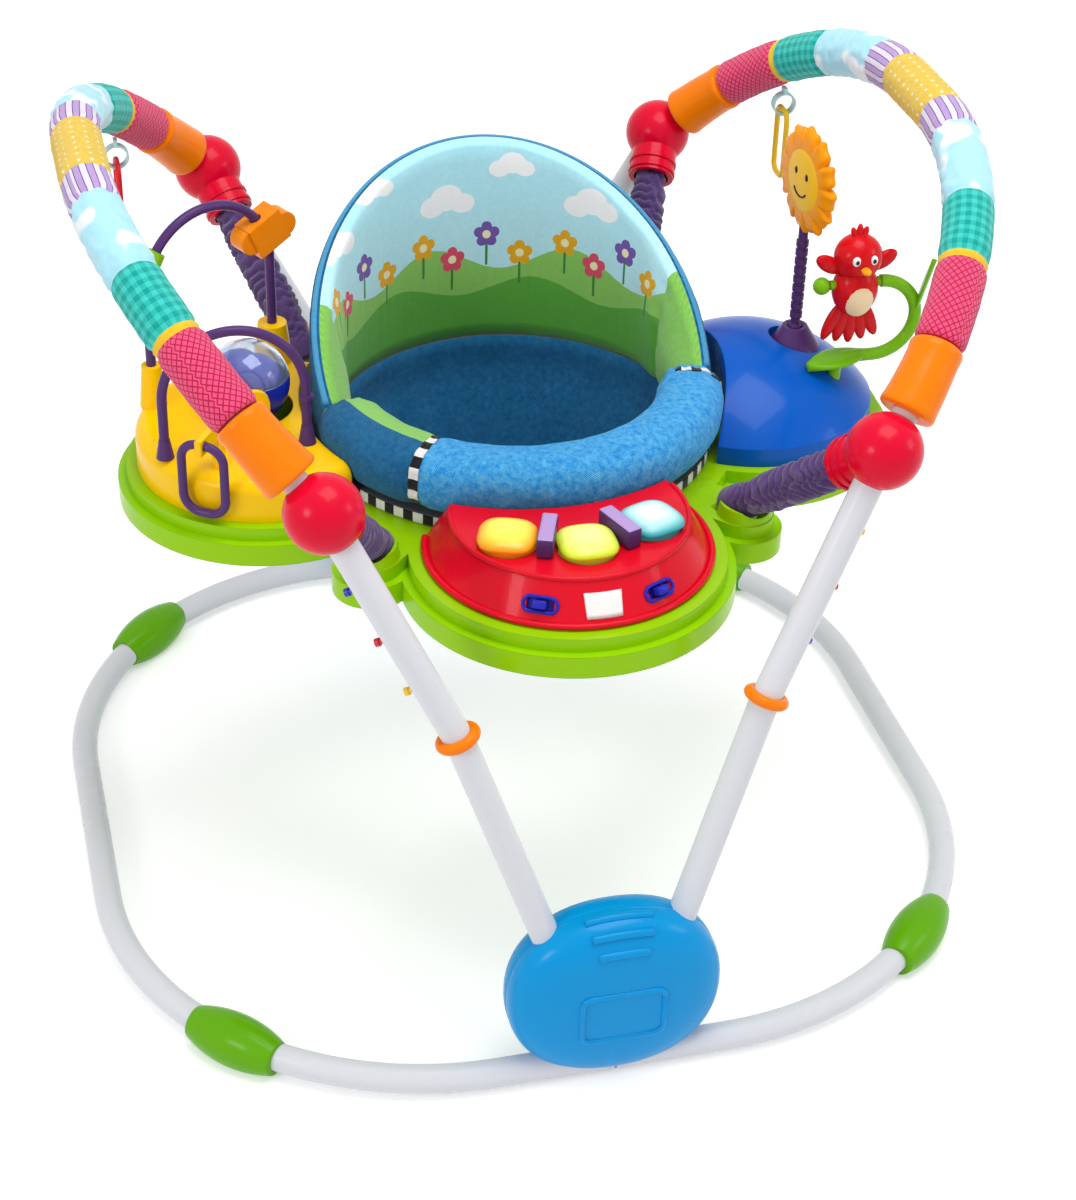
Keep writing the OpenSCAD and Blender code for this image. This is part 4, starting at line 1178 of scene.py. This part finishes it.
print("a hub is", 2 * HUB_X, "mm wide and", 2 * HUB_UP, "mm high")

# %% Ribs and outlines
OUTLINE_DROP, OUTLINE_R, RIB_R = 6, 0.003, 0.0046
RIBS = ((33, 12, 94.5), (30, 28, 86), (25, 35.5, 68))


def rounded_box(w, h, corner, steps=8):
    """Outline points of a rounded rectangle, closed."""
    out = []
    for k, (sx, sy) in enumerate(((1, 1), (-1, 1), (-1, -1), (1, -1))):
        for i in range(steps + 1):
            a = pi / 2 * (k + i / steps)
            out.append((sx * (w / 2 - corner) + corner * cos(a),
                        sy * (h / 2 - corner) + corner * sin(a)))
    return out + out[:1]


def hub_face(x, z, sy):
    """A place on a hub's face, x and z millimetres from the hub's middle."""
    k = squared(x / HUB_X, z / HUB_UP, OVAL)
    return mm(x, sy * (HUB_Y + HUB_THICK * max(0.0, 1 - k ** FULL) ** (1 / FULL)), HUB_Z + z)


def rib_place(x, out, up, sy):
    """A place on a rib, which comes down with the hub's oval towards its ends."""
    keep = (1 - (abs(x) / HUB_X) ** OVAL) ** (1 / OVAL)
    return mm(x, sy * (HUB_Y + out * keep), HUB_Z + up * keep)


for sy, word in ENDS:
    build_hub(word, sy)
    lines = [("hub_outline_" + word, OUTLINE_R,
              [hub_face(x, z - OUTLINE_DROP, sy) for x, z in rounded_box(82, 56, 9)])]
    for k, (half, out, up) in enumerate(RIBS):
        lines.append(("hub_rib_" + word + "_" + str(k + 1), RIB_R,
                      [rib_place(x, out, up, sy) for x in spread(-half, half, 24)]))
    for name, radius, path in lines:
        tube(name, path, radius, 10, FINISH["hub_blue"], "frame")
print("two hubs, each with an outline and", len(RIBS), "ribs")

# %% [markdown]
# ## Front toy
#
# The red station has a round bead along its top and its foot, a bare plate, and two slide switches
# in blue bezels. Each switch is a knob with a cover plate behind the slot, so the slot never shows
# open. On top sit three lit keys: caps on a drum, squared so that they nearly meet the purple
# blocks between them, and pale in the middle, where the light is.

# %% Beads and plate
STATION_Y, STATION_R, STATION_Z = -232, 138, 472
SLOPE_IN, SLOPE_UP = 24, 40
PLATE = plastic("plate_white", "F4F4F2", coat=0.1)


def station_point(angle, radius, z):
    """A place round the front station; the angle 0 faces the front."""
    a = radians(angle)
    return mm(radius * sin(a), STATION_Y - radius * cos(a), z)


def cone_point(angle, z, lift=0.0):
    """A place on the front station's sloping wall."""
    return station_point(angle, STATION_R - (z - STATION_Z) * SLOPE_IN / SLOPE_UP + lift, z)


for word, radius, z, thick, reach in (("top", 114.2, 511.8, 0.0026, 105),
                                      ("foot", 138.5, 475.4, 0.0032, 108)):
    tube("station_" + word + "_bead", [station_point(a, radius, z)
                                       for a in spread(-reach, reach, 120)],
         thick, 14, FINISH["station_red"], "tray")
build_strip("front_plate", spread(-8.5, 8.5, 30),
            lambda p, q: cone_point(p * (0.86 + 0.14 * q), 480 + 21 * q, 0.7),
            PLATE, "tray", 1.3, 24)
print("two beads and a plate")

# %% Switches and blocks
SWITCH_OUT, SWITCH_Z, SWITCH_ROUND = 127.2, 490, 26.6
SWITCH_TILT = atan2(SLOPE_IN, SLOPE_UP)
KEY_TURN = 20.4


def shift(*values):
    return Matrix.Translation(mm(*values))


def rounded_block(bm, size, round_mm, move):
    """A box with rounded edges, moved to its place by a matrix; lengths in millimetres."""
    made = bmesh.ops.create_cube(bm, size=1)["verts"]
    bmesh.ops.scale(bm, vec=mm(*size), verts=made)
    edges = list({e for v in made for e in v.link_edges})
    done = bmesh.ops.bevel(bm, geom=edges, offset=round_mm / 1000, affect="EDGES", segments=4,
                           profile=0.5, material=-1)
    bmesh.ops.transform(bm, matrix=move, verts=list({v for f in done["faces"] for v in f.verts}))


def build_switch(word, side):
    place = (shift(0, STATION_Y, SWITCH_Z)
             @ Matrix.Rotation(radians(SWITCH_ROUND * side), 4, "Z")
             @ shift(0, -SWITCH_OUT, 0) @ Matrix.Rotation(-SWITCH_TILT, 4, "X"))
    bm = bmesh.new()
    rounded_block(bm, (13, 14, 8), 1.6, place @ shift(0, -1, 0))
    rounded_block(bm, (37, 1.6, 13), 0.5, place @ shift(0, 5.6, 0))
    name = "switch_" + word
    piece("slide_" + name, bm, [FINISH["switch_blue"]], name, [name])
    ring = [place @ mm(x, -0.9 + x * x / 260, z) for x, z in rounded_box(33, 14, 6.9)]
    tube("switch_bezel_" + word, ring, 0.0017, 10, FINISH["switch_blue"], "tray")


def build_blocks():
    """The two purple blocks between the keys, paler on top: a painted highlight."""
    bm = bmesh.new()
    for s in (-1, 1):
        rounded_block(bm, (16, 50, 21), 3, shift(35 * s, -283, 522.6)
                      @ Matrix.Rotation(radians(KEY_TURN * s), 4, "Z"))
    bm.normal_update()
    for face in bm.faces:
        # Faces that look up take a pale lilac: painted highlight from the light above.
        face.material_index = 1 if face.normal.z > 0.7 else 0
    piece("key_blocks", bm, [FINISH["toy_purple"], plastic("divider_top_highlight", "B79AD2")], "tray",
          ["key_dividers"])


for side, word in SIDES:
    build_switch(word, side)
build_blocks()
print("two switches and two blocks")

# %% Lit keys
KEY_R, KEY_Z, DRUM_TOP, CAP_Z, CAP_RISE = 28.3, 512, 4.6, 6.4, 10
KEYS = (("left", (-70, -270), -KEY_TURN, "key_amber", "FF9A08", "FFEE58"),
        ("middle", (0, -296), 0, "key_lime", "C8DC1E", "F6FF8C"),
        ("right", (70, -270), KEY_TURN, "key_teal", "0FA6AE", "D8FBFB"))
CAP = [(0.95, -14.0), (0.95, 4.5), (0.985, 4.8), (1.0, CAP_Z)]
CAP += [(cos(a), CAP_Z + CAP_RISE * sin(a)) for a in spread(0, pi / 2, 10)[1:-1]]


def lit_material(name, rim, middle):
    """Lit cap: u of its map runs from 0 in the middle to 1 at the rim."""
    made, g, shader = new_material(name, Emission_Strength=0.42, Roughness=0.22,
                                   Specular_IOR_Level=0.35)
    u = g.uv()[0]
    far = g.math("MULTIPLY", u, u)
    dim = [0.3 * c for c in linear(rim)[:3]] + [1.0]
    g.link(g.mix(far, middle, rim), shader["Base Color"])
    g.link(g.mix(far, middle, dim), shader["Emission Color"])
    return made


def build_key(word, at, turn, slot, rim, middle):
    def point(a, share, up):
        r = KEY_R * share / (1 if up < DRUM_TOP else squared(cos(a), sin(a), 3))
        b = a + radians(turn)
        return mm(at[0] + r * cos(b), at[1] + r * sin(b), KEY_Z + up)

    skinned("lit_key_" + word, rings(64, point, CAP), lambda i, j: (CAP[i][0], j),
            [lit_material("lit_" + slot, rim, middle)], "key_" + word, ["key_" + word])


for key in KEYS:
    build_key(*key)
print(len(KEYS), "lit keys")

# %% [markdown]
# ## Small trim
#
# Leaves on the branch: a thick one lies on the dome where the branch starts, a slim one stands at
# its bend. Inside the roller's clear cap sits a blue core with two lobes.

# %% Leaves and core
LEAF = plastic("leaf_green", "70B40C")
ROLLER_AT = mm(-268, 25, 545)


def build_leaf(name, foot, tip, width, thick):
    """A flat oval leaf between two points, with a slight keel."""
    line = tip - foot
    side = line.cross(Vector((0, 0, 1))).normalized()
    up = side.cross(line).normalized()

    def point(a, t):
        half = width / 2 * sin(pi * (0.04 + 0.92 * t)) ** 0.8
        keel = 0.12 * half * abs(cos(a))
        return (foot + line * t + side * (half * cos(a) / 1000)
                + up * ((thick * sin(a) + keel) / 1000))

    skinned(name, rings(20, point, [(t,) for t in spread(0, 1, 24)]), lambda i, j: (i, j), [LEAF],
            "tray")


build_leaf("branch_leaf_low", mm(297, -60, 543), mm(362, -50, 548), 38, 5.0)
build_leaf("branch_leaf_high", mm(411, -52, 588), mm(424, -58, 652), 22, 2.6)
bm = bmesh.new()
for at, size in (((-8, -4, 16), (24, 26, 19)), ((8, -6, 6), (25, 27, 24))):
    lump(bm, ROLLER_AT + mm(*at), size, segments=40)
piece("roller_core", bm, [plastic("core_blue", "0818B8", coat=0)], "roller")
print("two leaves and the roller's core")

# %% [markdown]
# ## Floor
#
# A wide pale floor so that the feet throw soft shadows, as on the white sweep of the photo. To the
# camera and in reflections it glows a little, more so far away, and so it meets the white surround
# without a line.

# %% Floor and its glow
FLOOR_LIFT, FAR_LIFT = 0.35, 0.62
NEAR_M, FAR_M, FLOOR_HALF = 1.0, 4.0, 30
paint, g, shader = new_material("floor_white", Base_Color=(0.93, 0.93, 0.93, 1), Roughness=0.7,
                                Emission_Color=WHITE)
away = g.add("VectorMath", "LENGTH")
g.link(g.add("TexCoord").outputs["Object"], away.inputs[0])
lift = g.ramp(away.outputs["Value"], NEAR_M, FAR_M, FLOOR_LIFT, FAR_LIFT)
g.link(g.math("MULTIPLY", g.shown_rays(), lift), shader["Emission Strength"])
bm = bmesh.new()
bmesh.ops.create_grid(bm, x_segments=1, y_segments=1, size=FLOOR_HALF)
floor = piece("floor", bm, [paint], smooth=False)
print("floor", 2 * FLOOR_HALF, "m wide")
